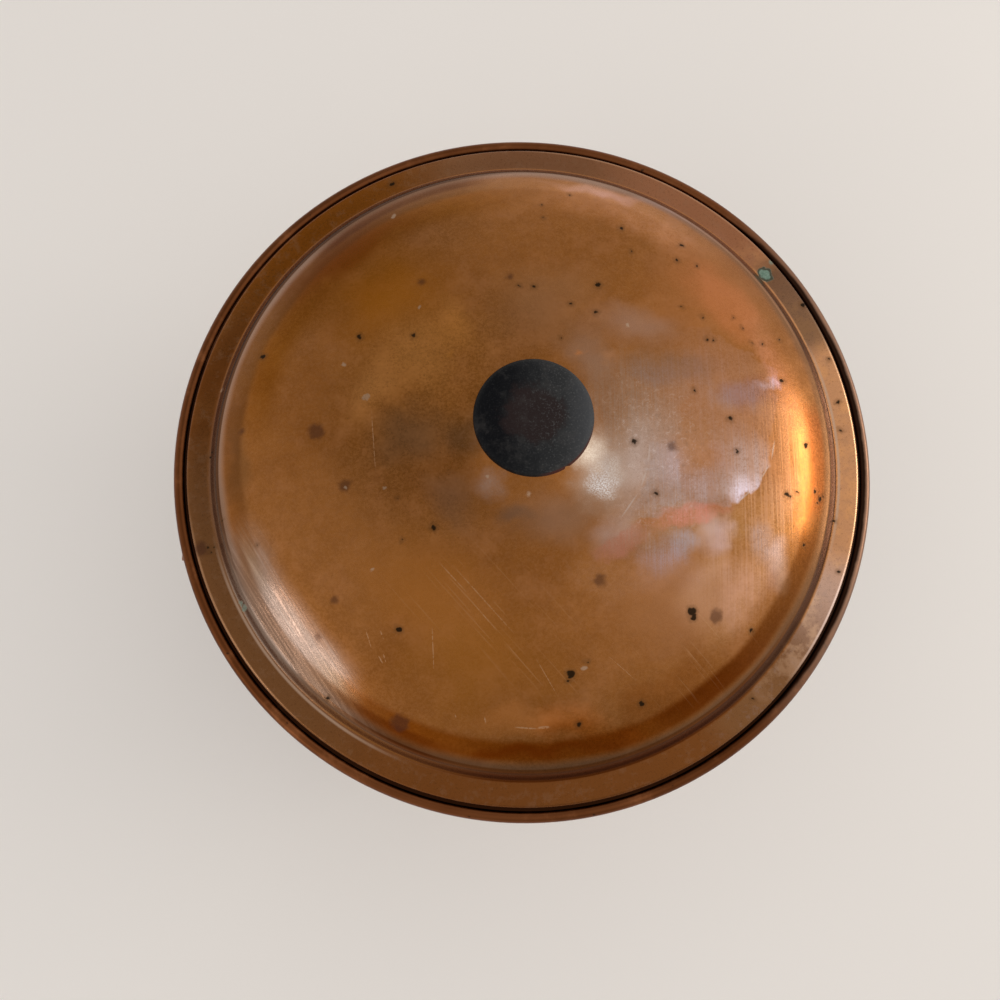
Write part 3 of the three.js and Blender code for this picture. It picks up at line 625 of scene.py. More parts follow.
# %% A tree of Geometry Nodes
class Growth(Nodes):
    """A tree of Geometry Nodes under construction, with named inputs for its sizes."""

    def __init__(self, name, **sizes):
        super().__init__(bpy.data.node_groups.new(name, "GeometryNodeTree"))
        for way in ("INPUT", "OUTPUT"):
            self.tree.interface.new_socket("Geometry", in_out=way, socket_type="NodeSocketGeometry")
        for size, value in sizes.items():
            kind = "NodeSocketInt" if isinstance(value, int) else "NodeSocketFloat"
            socket = self.tree.interface.new_socket(size, in_out="INPUT", socket_type=kind)
            socket.default_value = value
        self.start = self.tree.nodes.new("NodeGroupInput")
        self.given = self.start.outputs[0]

    def size(self, name):
        return self.start.outputs[name]

    def finish(self, geometry, material):
        """Every tree ends with real geometry that has its material."""
        real = self.add("GeometryNodeRealizeInstances", {0: geometry})
        done = self.add("GeometryNodeSetMaterial", {"Geometry": real, "Material": material})
        self.end("NodeGroupOutput", done)


def grow(piece, growth, **sizes):
    """Runs a piece's mesh through a tree with these sizes, and keeps the plain result."""
    modifier = piece.modifiers.new(growth.tree.name, "NODES")
    modifier.node_group = growth.tree
    for item in growth.tree.interface.items_tree:
        if item.in_out == "INPUT" and item.name in sizes:
            modifier[item.identifier] = sizes[item.name]
    return made_plain(piece)


print("tools are ready")

# %% [markdown]
# ## The floor
# The dish stands on a plain, pale floor. A backdrop could curve up behind it, but the view is from
# above, and a flat floor keeps an even tone. It is large, so that its edge never shows in the metal.

# %% Floor
floor_mesh = bpy.data.meshes.new("floor")
FLOOR_REACH = 60.0
FLOOR_LEVEL = -0.2 * MM
square = [(-1, -1), (1, -1), (1, 1), (-1, 1)]
floor_corners = [(x * FLOOR_REACH, y * FLOOR_REACH, FLOOR_LEVEL) for x, y in square]
floor_mesh.from_pydata(floor_corners, [], [(0, 1, 2, 3)])
floor = bpy.data.objects.new("floor", floor_mesh)
scene.collection.objects.link(floor)
pale = Finish("pale_floor")
floor_mesh.materials.append(pale.surface(Base_Color=srgb(246, 241, 236), Roughness=0.9))
floor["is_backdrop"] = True
print("the floor lies at", FLOOR_LEVEL / MM, "mm")

# %% [markdown]
# ## The lid's shape
# The cover is one sheet of copper, spun over a wooden form. From outside in it has a hem folded over
# a wire's width, a flat flange, an eased step, a low crown and a flare up to the knob. The crown
# falls away with the fourth power of the radius, which keeps it nearly flat in the middle and round
# at the shoulder. So the sheet is turned flat first, and a tree of nodes raises it by that rule.

# %% Heights of the lid
FLANGE_TOP = 196.3
FLANGE_RADIUS = 150
HEM = 1.6
STEP_FOOT = 139.5
CREST = 134.2
STEP_RISE = 4.8
CREST_HEIGHT = FLANGE_TOP + STEP_RISE
RISE = 19
POWER = 4
BOSS_FOOT = 34
BOSS_TOP = 11
BOSS_RISE = 6
FLARE = 2.2
SHEET = 1
SCREW_HOLE = 2.6
crown_rule = {"crest radius": CREST * MM, "rise": RISE * MM, "power": float(POWER)}
crown_rule.update({"boss foot": BOSS_FOOT * MM, "boss top": BOSS_TOP * MM})
crown_rule.update({"boss rise": BOSS_RISE * MM, "flare": FLARE})


def lid_height(radius):
    """Height of the lid's outer skin, in millimetres."""
    if radius > STEP_FOOT:
        return FLANGE_TOP
    if radius > CREST:
        return FLANGE_TOP + STEP_RISE * (STEP_FOOT - radius) / (STEP_FOOT - CREST)
    share = min(max((radius - BOSS_TOP) / (BOSS_FOOT - BOSS_TOP), 0), 1)
    return CREST_HEIGHT + RISE * (1 - (radius / CREST) ** POWER) + BOSS_RISE * (1 - share) ** FLARE


print("top of the boss:", round(lid_height(0), 2), "mm")


# %% The flat sheet
def lid_outline():
    """The cover as it would be without its crown: both skins, from the hem to the screw hole."""
    step = [(141.2, 0), (139.9, 0.04), (138.9, 0.5), (136.85, 2.7), (135.05, 4.4), (CREST, STEP_RISE)]
    step = smooth_line([(r, FLANGE_TOP + z) for r, z in step], 14)
    crown = [(r, CREST_HEIGHT) for r in np.linspace(CREST, BOSS_FOOT, 44)[1:]]
    boss = [(r, CREST_HEIGHT) for r in np.linspace(BOSS_FOOT, BOSS_TOP, 20)[1:]]
    hem_middle = (FLANGE_RADIUS - HEM, FLANGE_TOP - HEM)
    flange = [(hem_middle[0], FLANGE_TOP), (145, FLANGE_TOP)]
    outer = [*flange, *step, *crown, *boss, (SCREW_HOLE, CREST_HEIGHT)]
    inner = offset_skin(outer, SHEET)
    hem = arc(hem_middle, HEM, -202, 90, 20)[:-1]
    return [*hem, *outer, *reversed(inner[1:])]


lid_cover = lathe("lid_cover_spun", lid_outline(), sides=320)
print("flat lid:", len(lid_cover.data.vertices), "points")

# %% The crown's rule
crown = Growth("raise_the_crown", **crown_rule)
here = crown.add("GeometryNodeInputPosition")
flat = crown.add("VectorMath", {0: here, 1: (1, 1, 0)}, operation="MULTIPLY")
radius = crown.add("VectorMath", {0: flat}, 1, operation="LENGTH")
share = crown.over(radius, crown.size("crest radius"), clamp=True)
fall = crown.math("POWER", share, crown.size("power"))
low_crown = crown.times(crown.size("rise"), crown.minus(1.0, fall))
width = crown.minus(crown.size("boss foot"), crown.size("boss top"))
out = crown.over(crown.minus(radius, crown.size("boss top")), width, clamp=True)
flared = crown.math("POWER", crown.minus(1.0, out), crown.size("flare"))
boss = crown.times(crown.size("boss rise"), flared)
lift = crown.add("CombineXYZ", {2: crown.plus(low_crown, boss)})
raised = crown.add("GeometryNodeSetPosition", {"Geometry": crown.given, "Offset": lift})
crown.finish(raised, pan_copper)
grow(lid_cover, crown, **crown_rule)
print("raised lid:", round(max(v.co.z for v in lid_cover.data.vertices) / MM, 2), "mm high")


# %% [markdown]
# ## Places on the lid
# A mark on worn metal is read from the photograph as a pixel. The function below sends a ray from
# the camera through that pixel and finds where it meets the crown, so that a mark is stored in the
# metal at that place and stays there in every view.

# %% From a pixel to the metal
FIRST_GUESS = 0.215
UNDER_KNOB = (533, 418)


def on_lid(across, down, height=lid_height):
    """The point of the lid, in metres, that shows at this pixel of the photograph."""
    turn = camera.rotation_euler.to_matrix()
    half = PICTURE_SIDE / 2
    ray = turn @ Vector(((across - half) / focal_pixels, (half - down) / focal_pixels, -1))
    level = FIRST_GUESS
    for _ in range(12):
        point = camera.location + ray * ((level - camera.location.z) / ray.z)
        level = height(point.xy.length / MM) * MM
    return point


print("under the knob's middle:", [round(c / MM, 1) for c in on_lid(*UNDER_KNOB)])

# %% [markdown]
# ## The lid's finish
# Nobody has polished this copper for years. It is brown, cloudy and stained, yet still smooth, so
# broad soft reflections lie over it. The finish is built up in layers: the metal's own clouds, large
# soft patches, brushing, films, the bands of the rim, shades, scratches, and last the pits and the
# green. Besides patina, several layers hold painted light: glints, sheens, reflections of the room
# and shade on the sides away from the windows, as they fall in this view. Each step is a cell or two
# that change the same running values: the tone, the roughness, and in the end the relief and how
# metallic the surface is.

# %% Clouds and grain
lid = Finish("lid_copper")


def warped(scale, detail, reach):
    """The lid's coordinates pushed about by noise, so that no edge on it is a clean curve."""
    push = lid.add("TexNoise", {"Vector": lid.place, "Scale": scale, "Detail": detail}, 1)
    centred = lid.vector("SUBTRACT", push, (0.5, 0.5, 0.5))
    return lid.vector("ADD", lid.place, lid.vector("MULTIPLY", centred, (reach, reach, 0)))


def washed(tone, inside, colour, strength=1.0):
    """Another tone laid over the lid's tone where inside is 1, as strongly as given."""
    return lid.mix(lid.times(inside, strength), tone, (*colour, 1))


ragged = warped(42.0, 4.0, 0.024)
torn = warped(130.0, 5.0, 0.011)
crisp = warped(320.0, 3.0, 0.0035)
clouds = lid.noise(13, 6, 0.62, 0.5)
mottle = lid.noise(60, 6, 0.7)
flecks = lid.noise(210, 5, 0.75)
grain = lid.noise(800, 4, 0.8)
lid_tone = lid.mix(lid.between(clouds, 0.35, 0.65), (0.258, 0.090, 0.018, 1), (0.328, 0.123, 0.030, 1))
lid_tone = washed(lid_tone, lid.between(mottle, 0.45, 0.72), (0.410, 0.168, 0.059), 0.5)
lid_tone = washed(lid_tone, lid.between(flecks, 0.55, 0.42), (0.197, 0.070, 0.018), 0.18)
lid_tone = washed(lid_tone, lid.between(grain, 0.44, 0.62), (0.426, 0.193, 0.082), 0.18)
lid_tone = washed(lid_tone, lid.between(grain, 0.47, 0.30), (0.160, 0.056, 0.014), 0.10)
lid_rough = lid.between(clouds, 0.3, 0.7, 0.33, 0.27)
lid_rough = lid.plus(lid_rough, lid.between(mottle, 0.4, 0.7, -0.02, 0.05))
lid_rough = lid.plus(lid_rough, lid.between(grain, 0.35, 0.65, -0.04, 0.05))
print("base tone of the lid is ready")


# %% Large soft patches
def from_middle(middle, turn, half_length, half_width, at):
    """Distance from a place on the lid, counted in half lengths one way and half widths the other."""
    along = Vector((math.cos(turn), math.sin(turn), 0)) / half_length
    across = Vector((-math.sin(turn), math.cos(turn), 0)) / half_width
    lengths = lid.vector("DOT_PRODUCT", at, tuple(along), 1)
    widths = lid.vector("DOT_PRODUCT", at, tuple(across), 1)
    pair = lid.add("CombineXYZ", {0: lengths, 1: widths})
    return lid.vector("DISTANCE", pair, (middle.dot(along), middle.dot(across), 0), 1)


def oval(across, down, width, depth, turn=0.0, soft=0.3, at=None):
    """1 inside an oval at this pixel of the photograph, 0 outside; its half sizes are in mm."""
    far = from_middle(on_lid(across, down), math.radians(turn), width * MM, depth * MM, at or ragged)
    return lid.between(far, 1.0, soft)


# A patch: its pixel, half width and half depth in mm, turn in degrees, tone and strength.
# Patches are patina mixed with painted reflection of the room; those marked below are mainly painted light.
soft_patches = [
    (715, 290, 42, 38, 0, (0.45, 0.172, 0.058), 0.55),
    (690, 600, 44, 34, 20, (0.40, 0.180, 0.083), 0.5),
    (560, 512, 30, 18, 20, (0.32, 0.175, 0.105), 0.55),
    (378, 288, 44, 30, 30, (0.34, 0.108, 0.006), 0.75),
    (335, 256, 46, 14, 45, (0.22, 0.056, 0.005), 0.8),
    (530, 753, 66, 5.5, 0, (0.22, 0.058, 0.005), 0.9),
    (747, 697, 34, 9, 48, (0.22, 0.062, 0.006), 0.8),
    (430, 590, 46, 34, -40, (0.40, 0.145, 0.028), 0.6),
    # Painted reflection: a pale band on the shoulder at the top.
    (600, 192, 34, 6, -8, (0.50, 0.25, 0.15), 0.6),
    (545, 300, 34, 26, 0, (0.33, 0.155, 0.068), 0.5),
    # Painted dark reflection left of the knob, and round its foot in the next two.
    (412, 436, 25, 18, 20, (0.165, 0.078, 0.036), 0.7),
    (455, 500, 18, 12, -30, (0.21, 0.105, 0.055), 0.5),
    (520, 517, 9, 6, 10, (0.16, 0.090, 0.055), 0.5),
    (235, 470, 8, 34, 4, (0.20, 0.085, 0.026), 0.6),
    (444, 322, 15, 20, 0, (0.46, 0.180, 0.045), 0.6),
    (374, 388, 14, 20, -20, (0.46, 0.190, 0.060), 0.6),
    (480, 665, 46, 30, 0, (0.34, 0.122, 0.016), 0.5),
    # Painted highlight: the boss's glint, spread to the right of the knob.
    (632, 470, 15, 34, -10, (0.52, 0.365, 0.285), 0.7),
    (640, 322, 28, 12, 0, (0.38, 0.225, 0.160), 0.5),
    (588, 352, 13, 20, 20, (0.34, 0.205, 0.140), 0.5),
    (668, 455, 16, 24, 0, (0.46, 0.310, 0.250), 0.4),
    (412, 362, 24, 26, 0, (0.50, 0.205, 0.058), 0.5),
    (372, 240, 40, 11, 38, (0.26, 0.074, 0.002), 0.65),
    (530, 722, 34, 7, 0, (0.48, 0.180, 0.048), 0.5),
    (612, 532, 15, 9, 20, (0.44, 0.280, 0.220), 0.6),
    (712, 528, 14, 12, 0, (0.58, 0.370, 0.290), 0.5),
    (778, 566, 9, 16, -20, (0.56, 0.340, 0.235), 0.6),
    # Painted sheen beside the right window's highlight.
    (780, 455, 12, 40, 0, (0.52, 0.235, 0.110), 0.35),
]
for across, down, width, depth, turn, tone, strength in soft_patches:
    lid_tone = washed(lid_tone, oval(across, down, width, depth, turn, 0.05), tone, strength)
print("soft patches:", len(soft_patches))

# %% Brushing
RIGHT_SIDE = (750, 480)
across_the_lid = lid.moved(rotation=(0, 0, -0.03), scale=(1200, 22, 22))
brushed = lid.noise(1.0, 5, 0.65, 0.0, across_the_lid)
streak = lid.between(brushed, 0.44, 0.62)
right_side = oval(*RIGHT_SIDE, 48, 84, soft=0.1)
# Brush streaks on the right, painted lighter as the window's sheen smeared along them.
lid_tone = washed(lid_tone, lid.times(streak, right_side), (0.56, 0.290, 0.160), 0.18)
along_shoulder = lid.moved(rotation=(0, 0, -0.98), scale=(1 / 24, 1 / 900, 1 / 24), kind="TEXTURE")
brushed_low = lid.noise(1.0, 5, 0.65, 0.0, along_shoulder)
streak_low = lid.between(brushed_low, 0.44, 0.62)
print("the brushing lies round", [round(c / MM) for c in on_lid(*RIGHT_SIDE)], "mm")

# %% [markdown]
# ## Films, and glints round the boss
# Where the lid was wiped or splashed, its oxide is thinner or thicker, and such a film ends in a
# ragged line. An oval mask would fade out softly. So a film also gets an edge: a convex area, given
# by its corners, in coordinates that noise has torn. Round the boss, small pale spots are painted
# highlights, the glints of a lamp in its flare, and a few small orange spots lie near the knob.

# %% Films with ragged edges
def gap_to(corners, at=None):
    """Signed distance in mm, negative inside, to a convex area given by pixels of the photograph."""
    points = [on_lid(*corner).xy for corner in corners]
    middle = sum(points, Vector((0, 0))) / len(points)

    def past_side(a, b):
        out = Vector((b.y - a.y, a.x - b.x)).normalized()
        if out.dot(a - middle) < 0:
            out.negate()
        side = lid.vector("DOT_PRODUCT", at or torn, (out.x * TO_MM, out.y * TO_MM, 0), output=1)
        return lid.minus(side, out.dot(a) * TO_MM)

    return reduce(lid.most, (past_side(a, b) for a, b in zip(points, points[1:] + points[:1])))


def within(*areas, soft=0.8):
    """1 inside any of these areas and 0 outside, with an edge as soft as given in mm."""
    nearest = reduce(lid.least, (gap_to(corners) for corners in areas))
    return lid.between(nearest, soft, -soft)


film_corners = [(640, 340), (700, 325), (776, 372), (774, 438), (771, 462), (757, 485),
                (736, 505), (700, 510), (640, 522), (619, 523)]
olive_corners = [(585, 360), (640, 330), (697, 330), (684, 405), (668, 452), (650, 470), (600, 520)]
upper_drip = [(650, 443), (671, 444), (682, 498), (643, 493)]
lower_drip = [(643, 490), (683, 497), (668, 512), (619, 523)]
right_band = [(655, 510), (700, 502), (733, 505), (726, 515), (690, 526), (640, 531)]
left_band = [(592, 556), (640, 518), (664, 514), (642, 543), (600, 566)]
edges = {
    "film": within(film_corners),
    "olive": within(olive_corners, soft=1.6),
    "drip": within(upper_drip, lower_drip),
    "band": within(right_band, left_band, soft=1.4),
}
print("edges:", list(edges))

# %% Tones of the films
# A film: its edge, if it has one, and then the same values as a patch.
films = [
    ("olive", 636, 408, 37, 36, 0, (0.345, 0.210, 0.138), 0.9),
    ("film", 725, 400, 44, 46, 0, (0.43, 0.215, 0.130), 0.75),
    ("film", 738, 394, 19, 9, 5, (0.40, 0.265, 0.225), 0.8),
    ("film", 705, 490, 24, 14, 10, (0.42, 0.285, 0.230), 0.9),
    ("film", 752, 466, 18, 24, 40, (0.54, 0.380, 0.330), 0.85),
    ("film", 742, 490, 11, 11, 20, (0.74, 0.580, 0.540), 0.75),
    ("drip", 660, 482, 24, 26, 0, (0.40, 0.275, 0.220), 0.85),
    ("band", 690, 514, 24, 9, 8, (0.52, 0.180, 0.105), 0.95),
    ("band", 622, 542, 20, 13, 30, (0.40, 0.145, 0.078), 0.85),
    (None, 664, 550, 17, 13, 15, (0.36, 0.225, 0.170), 0.85),
    (None, 684, 543, 7, 9, 0, (0.38, 0.290, 0.270), 0.75),
    # Partly film, partly a painted highlight: the pale glint at the film's upper end.
    (None, 766, 384, 9, 4, 10, (0.58, 0.450, 0.420), 0.65),
    (None, 762, 541, 9, 11, 0, (0.39, 0.240, 0.170), 0.6),
]
rubbed_through = lid.between(grain, 0.36, 0.52, 0.6, 1.0)
broken = lid.times(rubbed_through, lid.between(brushed, 0.35, 0.6, 1.0, 0.6))
for edge, across, down, width, depth, turn, tone, strength in films:
    inside = lid.times(oval(across, down, width, depth, turn, 0.1, torn), broken)
    if edge:
        inside = lid.times(inside, edges[edge])
    lid_tone = washed(lid_tone, inside, tone, strength)
print("films:", len(films))

# %% Scuffs
SCUFFED = (650, 450)
scuffs = lid.noise(520, 6, 0.85, 0.6)
scuffed = oval(*SCUFFED, 44, 50, soft=0.2)
pale_scuffs = lid.times(scuffed, lid.between(scuffs, 0.52, 0.66))
dark_scuffs = lid.times(scuffed, lid.between(scuffs, 0.47, 0.36))
lid_tone = washed(lid_tone, pale_scuffs, (0.64, 0.470, 0.370), 0.4)
lid_tone = washed(lid_tone, dark_scuffs, (0.20, 0.110, 0.062), 0.4)
print("scuffed round", [round(c / MM) for c in on_lid(*SCUFFED)], "mm")

# %% Painted glints round the boss, and small spots
# A spot: the same values as a patch, and last how far it is broken up into sparkles.
sparkle = lid.between(lid.noise(1500, 3, 0.8), 0.44, 0.58)
boss_glints_and_spots = [
    # Painted highlights: the first six spots are glints of a lamp in the boss's flare.
    (600, 470, 18, 24, -8, (0.50, 0.345, 0.250), 0.85, 0.15),
    (590, 452, 10, 12, -25, (0.90, 0.690, 0.500), 0.9, 0.35),
    (602, 484, 8, 9, 10, (0.90, 0.800, 0.720), 0.9, 0.85),
    (612, 470, 7, 9, 0, (0.62, 0.470, 0.360), 0.7, 0.6),
    (491, 484, 9, 9, 10, (0.38, 0.255, 0.20), 0.6, 0.3),
    (529, 496, 2.2, 3.5, 0, (0.62, 0.440, 0.31), 0.7, 0.6),
    (580, 354, 2.6, 2.4, 0, (0.50, 0.19, 0.065), 0.8, 0.0),
    (609, 357, 6, 4, 25, (0.42, 0.19, 0.085), 0.6, 0.0),
    (450, 352, 3, 3, 0, (0.38, 0.145, 0.03), 0.6, 0.0),
]
for across, down, width, depth, turn, tone, strength, speckled in boss_glints_and_spots:
    inside = oval(across, down, width, depth, turn, 0.0, torn)
    inside = lid.times(inside, lid.blend(speckled, 1.0, sparkle))
    lid_tone = washed(lid_tone, inside, tone, strength)
print("worn spots:", len(boss_glints_and_spots))

# %% [markdown]
# ## The bands of the rim
# The shoulder, the step's wall, the flat flange and the hem each have their own dirt and shine. They
# are bands round the axis, so a ramp over the radius could colour them. But each band mirrors bright
# and dim parts of the room on its sides, which is painted into its tone as light and shade. So each
# band is a mask on the radius times a mask on the side it faces.

# %% Shoulder and step
LEFT_GLINT = (285, 645)
from_axis = lid.from_axis()
wander = lid.plus(from_axis, lid.between(lid.noise(16, 3), 0.2, 0.8, -1.4, 1.4, smooth=False))


def band(start, full, still_full, end, radius=from_axis):
    """1 between the second and third radius in mm, and 0 before the first and past the last."""
    return lid.times(lid.between(radius, start, full), lid.between(from_axis, end, still_full))


crest = band(129.5, 133.8, 134.4, 135.6, wander)
# Painted reflection: the crest is pale to the upper left, orange to the right window, dark elsewhere.
crest_reflection = lid.mix(lid.facing(125, -0.1, 0.9), (0.125, 0.068, 0.038, 1), (0.35, 0.235, 0.180, 1))
crest_reflection = lid.mix(lid.facing(10, 0.5, 0.98), crest_reflection, (0.20, 0.098, 0.045, 1))
lid_tone = lid.mix(lid.times(crest, 0.75), lid_tone, crest_reflection)
# A whitish film on the lower-left shoulder, painted paler still as the sheen of the lower window.
lower_left_film_and_sheen = lid.times(oval(*LEFT_GLINT, 66, 30, -55), lid.between(wander, 110, 124))
lower_left_film_and_sheen = lid.times(lower_left_film_and_sheen, lid.between(from_axis, 139.6, 139.0))
lid_tone = washed(lid_tone, lower_left_film_and_sheen, (0.40, 0.305, 0.255), 0.8)
lid_tone = washed(lid_tone, lid.times(lower_left_film_and_sheen, streak_low), (0.62, 0.470, 0.390), 0.4)
wall = band(134.4, 135.6, 139.4, 140.4)
# Painted shade and light: the step's wall is dark, and lighter where it faces the lower-left window.
wall_light_and_shade = lid.mix(lid.facing(-146, 0.6, 0.95), (0.085, 0.036, 0.015, 1), (0.22, 0.150, 0.110, 1))
lid_tone = lid.mix(lid.times(wall, 0.85), lid_tone, wall_light_and_shade)
print("shoulder and step are ready")

# %% Flange
flange = lid.between(from_axis, 139.2, 140.2)
flange_tone = lid.mix(lid.between(clouds, 0.4, 0.6), (0.125, 0.038, 0.008, 1), (0.170, 0.060, 0.016, 1))
# Painted reflection: the flange takes a tone by the side it faces, much lighter towards the right window.
# A side: its azimuth, where its mask starts and is full, tone and strength.
flange_reflections = [
    (84, 0.75, 0.98, (0.23, 0.105, 0.052), 0.8),
    (130, 0.88, 0.99, (0.19, 0.055, 0.004), 0.8),
    (48, 0.85, 0.98, (0.34, 0.140, 0.070), 0.8),
    (-80, 0.5, 0.95, (0.20, 0.068, 0.017), 0.7),
    (-150, 0.8, 0.97, (0.18, 0.085, 0.035), 0.6),
    (3, 0.72, 0.95, (0.60, 0.295, 0.145), 0.85),
]
for azimuth, low, high, tone, strength in flange_reflections:
    flange_tone = washed(flange_tone, lid.facing(azimuth, low, high), tone, strength)
flange_tone = washed(flange_tone, lid.between(flecks, 0.5, 0.64), (0.26, 0.145, 0.085), 0.2)
# Mottled blotches, painted lighter on the right side where the window's light falls.
blotches_lit_right = lid.times(lid.between(mottle, 0.48, 0.62), lid.facing(0, 0.6, 0.95))
flange_tone = washed(flange_tone, blotches_lit_right, (0.70, 0.330, 0.130), 0.5)
flange_tone = washed(flange_tone, lid.between(grain, 0.47, 0.32), (0.075, 0.026, 0.008), 0.4)
lid_tone = lid.mix(lid.times(flange, 0.94), lid_tone, flange_tone)
print("sides of the flange:", len(flange_reflections))

# %% Painted highlights at the step's foot and on the hem
# Painted highlights: thin pale lines on the step's foot and the hem, on the sides facing the windows.
foot_highlight = band(139.8, 140.5, 140.8, 141.6)
window_side = lid.most(lid.facing(-138, 0.88, 0.985), lid.facing(2, 0.92, 0.99))
foot_highlight = lid.times(foot_highlight, window_side)
lid_tone = washed(lid_tone, foot_highlight, (0.492, 0.328, 0.230), 0.75)
hem_highlight = band(148.2, 148.8, 149.6, 149.9)
window_side = lid.most(lid.times(lid.facing(64, 0.88, 0.98), 0.3), lid.facing(-6, 0.8, 0.96))
window_side = lid.most(lid.times(lid.facing(-150, 0.93, 0.99), 0.3), window_side)
lid_tone = washed(lid_tone, lid.times(hem_highlight, window_side), (0.76, 0.430, 0.235), 0.85)
# Painted shade, with some dirt: the hem's outer edge and the gap under it are nearly black.
lid_tone = washed(lid_tone, lid.between(from_axis, 149.9, 150.05), (0.029, 0.012, 0.006), 0.85)
print("the rim's bands are ready")

# %% [markdown]
# ## Shades
# Broad places of the lid are darker or lighter, warmer or cooler, without hiding the clouds in them.
# These shades are painted reflection and shade, the bright and dim parts of the room as the lid
# mirrors them, mixed with patina that differs from place to place. A tone laid over them would
# flatten the clouds. So each shade multiplies what is there already, either on a part of a ring round
# the axis or in an oval on the crown.

# %% Shades round the shoulder
def ring(inner, outer, soft, radius):
    """1 on a ring of the lid between two radii in mm."""
    inside = lid.between(radius, inner - soft, inner + soft)
    return lid.times(inside, lid.between(radius, outer + soft, outer - soft))


rings = {
    "crown": ring(88, 116, 5, wander),
    "bend": ring(110, 124, 5, wander),
    "shoulder": ring(122.5, 131, 1.8, wander),
    "brink": ring(127.5, 134.4, 1.2, from_axis),
    "edge": ring(133.8, 136, 0.3, from_axis),
    "wall": ring(136.1, 139.7, 0.4, from_axis),
    "flange": ring(140.3, 149.6, 0.4, from_axis),
}
# Painted reflection and shade: each row lightens or darkens part of a ring on the side it faces.
# A shade: its ring, azimuth, reach to each side in degrees, and what it multiplies by.
shades = [
    ("bend", 136, 38, (0.84, 0.74, 0.34)),
    ("shoulder", 142, 46, (0.74, 0.78, 0.90)),
    ("edge", 150, 52, (0.36, 0.26, 0.17)),
    ("wall", 100, 66, (2.35, 2.20, 1.65)),
    ("shoulder", 188, 18, (0.84, 0.76, 0.62)),
    ("wall", 185, 16, (0.72, 0.52, 0.34)),
    ("brink", 226, 26, (0.66, 0.54, 0.44)),
    ("brink", 117, 17, (0.66, 0.56, 0.44)),
    ("edge", 240, 14, (0.74, 0.56, 0.40)),
    ("shoulder", 276, 42, (0.74, 0.52, 0.18)),
    ("edge", 282, 40, (0.74, 0.56, 0.36)),
    ("wall", 268, 40, (0.94, 0.58, 0.22)),
    ("crown", 331, 18, (1.32, 1.52, 1.95)),
    ("shoulder", 322, 24, (0.60, 0.50, 0.34)),
    ("flange", 322, 17, (1.14, 1.50, 2.35)),
    ("shoulder", 358, 10, (0.96, 0.74, 0.58)),
    ("bend", 16, 8, (1.16, 1.14, 1.30)),
    ("wall", 352, 14, (0.62, 0.52, 0.30)),
    ("edge", 42, 18, (1.40, 1.50, 1.80)),
    ("flange", 30, 9, (0.42, 0.45, 0.50)),
    ("bend", 68, 16, (1.22, 1.26, 1.50)),
    ("shoulder", 78, 22, (1.25, 1.34, 1.60)),
    ("flange", 138, 36, (1.24, 1.26, 1.20)),
]
for where, azimuth, reach, shade in shades:
    half = math.radians(reach)
    side = lid.facing(azimuth, math.cos(half * 1.3), math.cos(half * 0.7))
    lid_tone = lid.mix(lid.times(rings[where], side), lid_tone, (*shade, 1), "MULTIPLY")
print("shades:", len(shades))

# %% Lighter and darker places on the crown
# Painted reflection and shade, mixed with patina: each place dims or brightens the tone as the room
# mirrored there is dim or bright; the one at (470, 430) darkens the knob's reflection at its left.
# A place: its pixel, half width and half depth in mm, turn in degrees, and its shade.
places = [
    (416, 368, 46, 56, -20, (1.24, 1.25, 1.10)),
    (470, 430, 13, 15, 0, (0.68, 0.76, 1.0)),
    (664, 222, 44, 17, -25, (1.14, 1.20, 1.42)),
    (722, 298, 27, 17, -40, (1.24, 1.15, 1.25)),
    (770, 350, 10, 30, 20, (1.18, 1.20, 1.50)),
    (666, 366, 26, 13, 0, (0.84, 0.93, 1.15)),
    (752, 394, 21, 11, 0, (0.84, 0.80, 0.90)),
    (640, 455, 42, 24, 20, (1.15, 1.28, 1.46)),
    (694, 472, 21, 20, 0, (1.13, 1.16, 1.30)),
    (684, 522, 38, 11, 0, (1.22, 1.40, 1.66)),
    (630, 570, 36, 15, 0, (1.12, 1.22, 1.58)),
    (702, 560, 22, 11, 0, (1.12, 1.18, 1.30)),
    (748, 606, 17, 26, 10, (1.25, 1.34, 1.66)),
    (602, 736, 27, 8, -10, (0.90, 0.76, 0.50)),
    (664, 702, 34, 11, 30, (0.88, 0.80, 0.68)),
    (566, 722, 18, 11, 0, (1.18, 1.08, 0.98)),
]
for across, down, width, depth, turn, shade in places:
    inside = oval(across, down, width, depth, turn, 0.3)
    lid_tone = lid.mix(inside, lid_tone, (*shade, 1), "MULTIPLY")
print("places:", len(places))

# %% [markdown]
# ## Scratches, pits and verdigris
# Scratches are thin lines of fresher metal, pits are black, and one green spot sits on the step.
# Modelled, such shallow marks would take very many faces. Painted, they would blur. Here each is a
# distance to a line or a point, which gives a crisp edge at any size, and the same masks then serve
# for the tone, the gloss and the relief.

# %% Hairlines
LEFT_HAIRLINES = (490, 610)
RIGHT_HAIRLINES = (700, 650)
HAIR_TURN = -0.83
slanting = lid.moved(rotation=(0, 0, HAIR_TURN), scale=(1 / 26, 1 / 1300, 1 / 26), kind="TEXTURE")
hair = lid.noise(1.0, 2, 0.5, 0.3, slanting)
hair = lid.between(hair, 0.64, 0.72)
hair_area = lid.most(oval(*LEFT_HAIRLINES, 80, 30, -42, 0.1), oval(*RIGHT_HAIRLINES, 50, 24, 40, 0.1))
hairlines = lid.times(hair, hair_area)
lid_tone = washed(lid_tone, hairlines, (0.508, 0.271, 0.131), 0.4)
print("hairlines are turned by", round(math.degrees(HAIR_TURN)), "degrees")


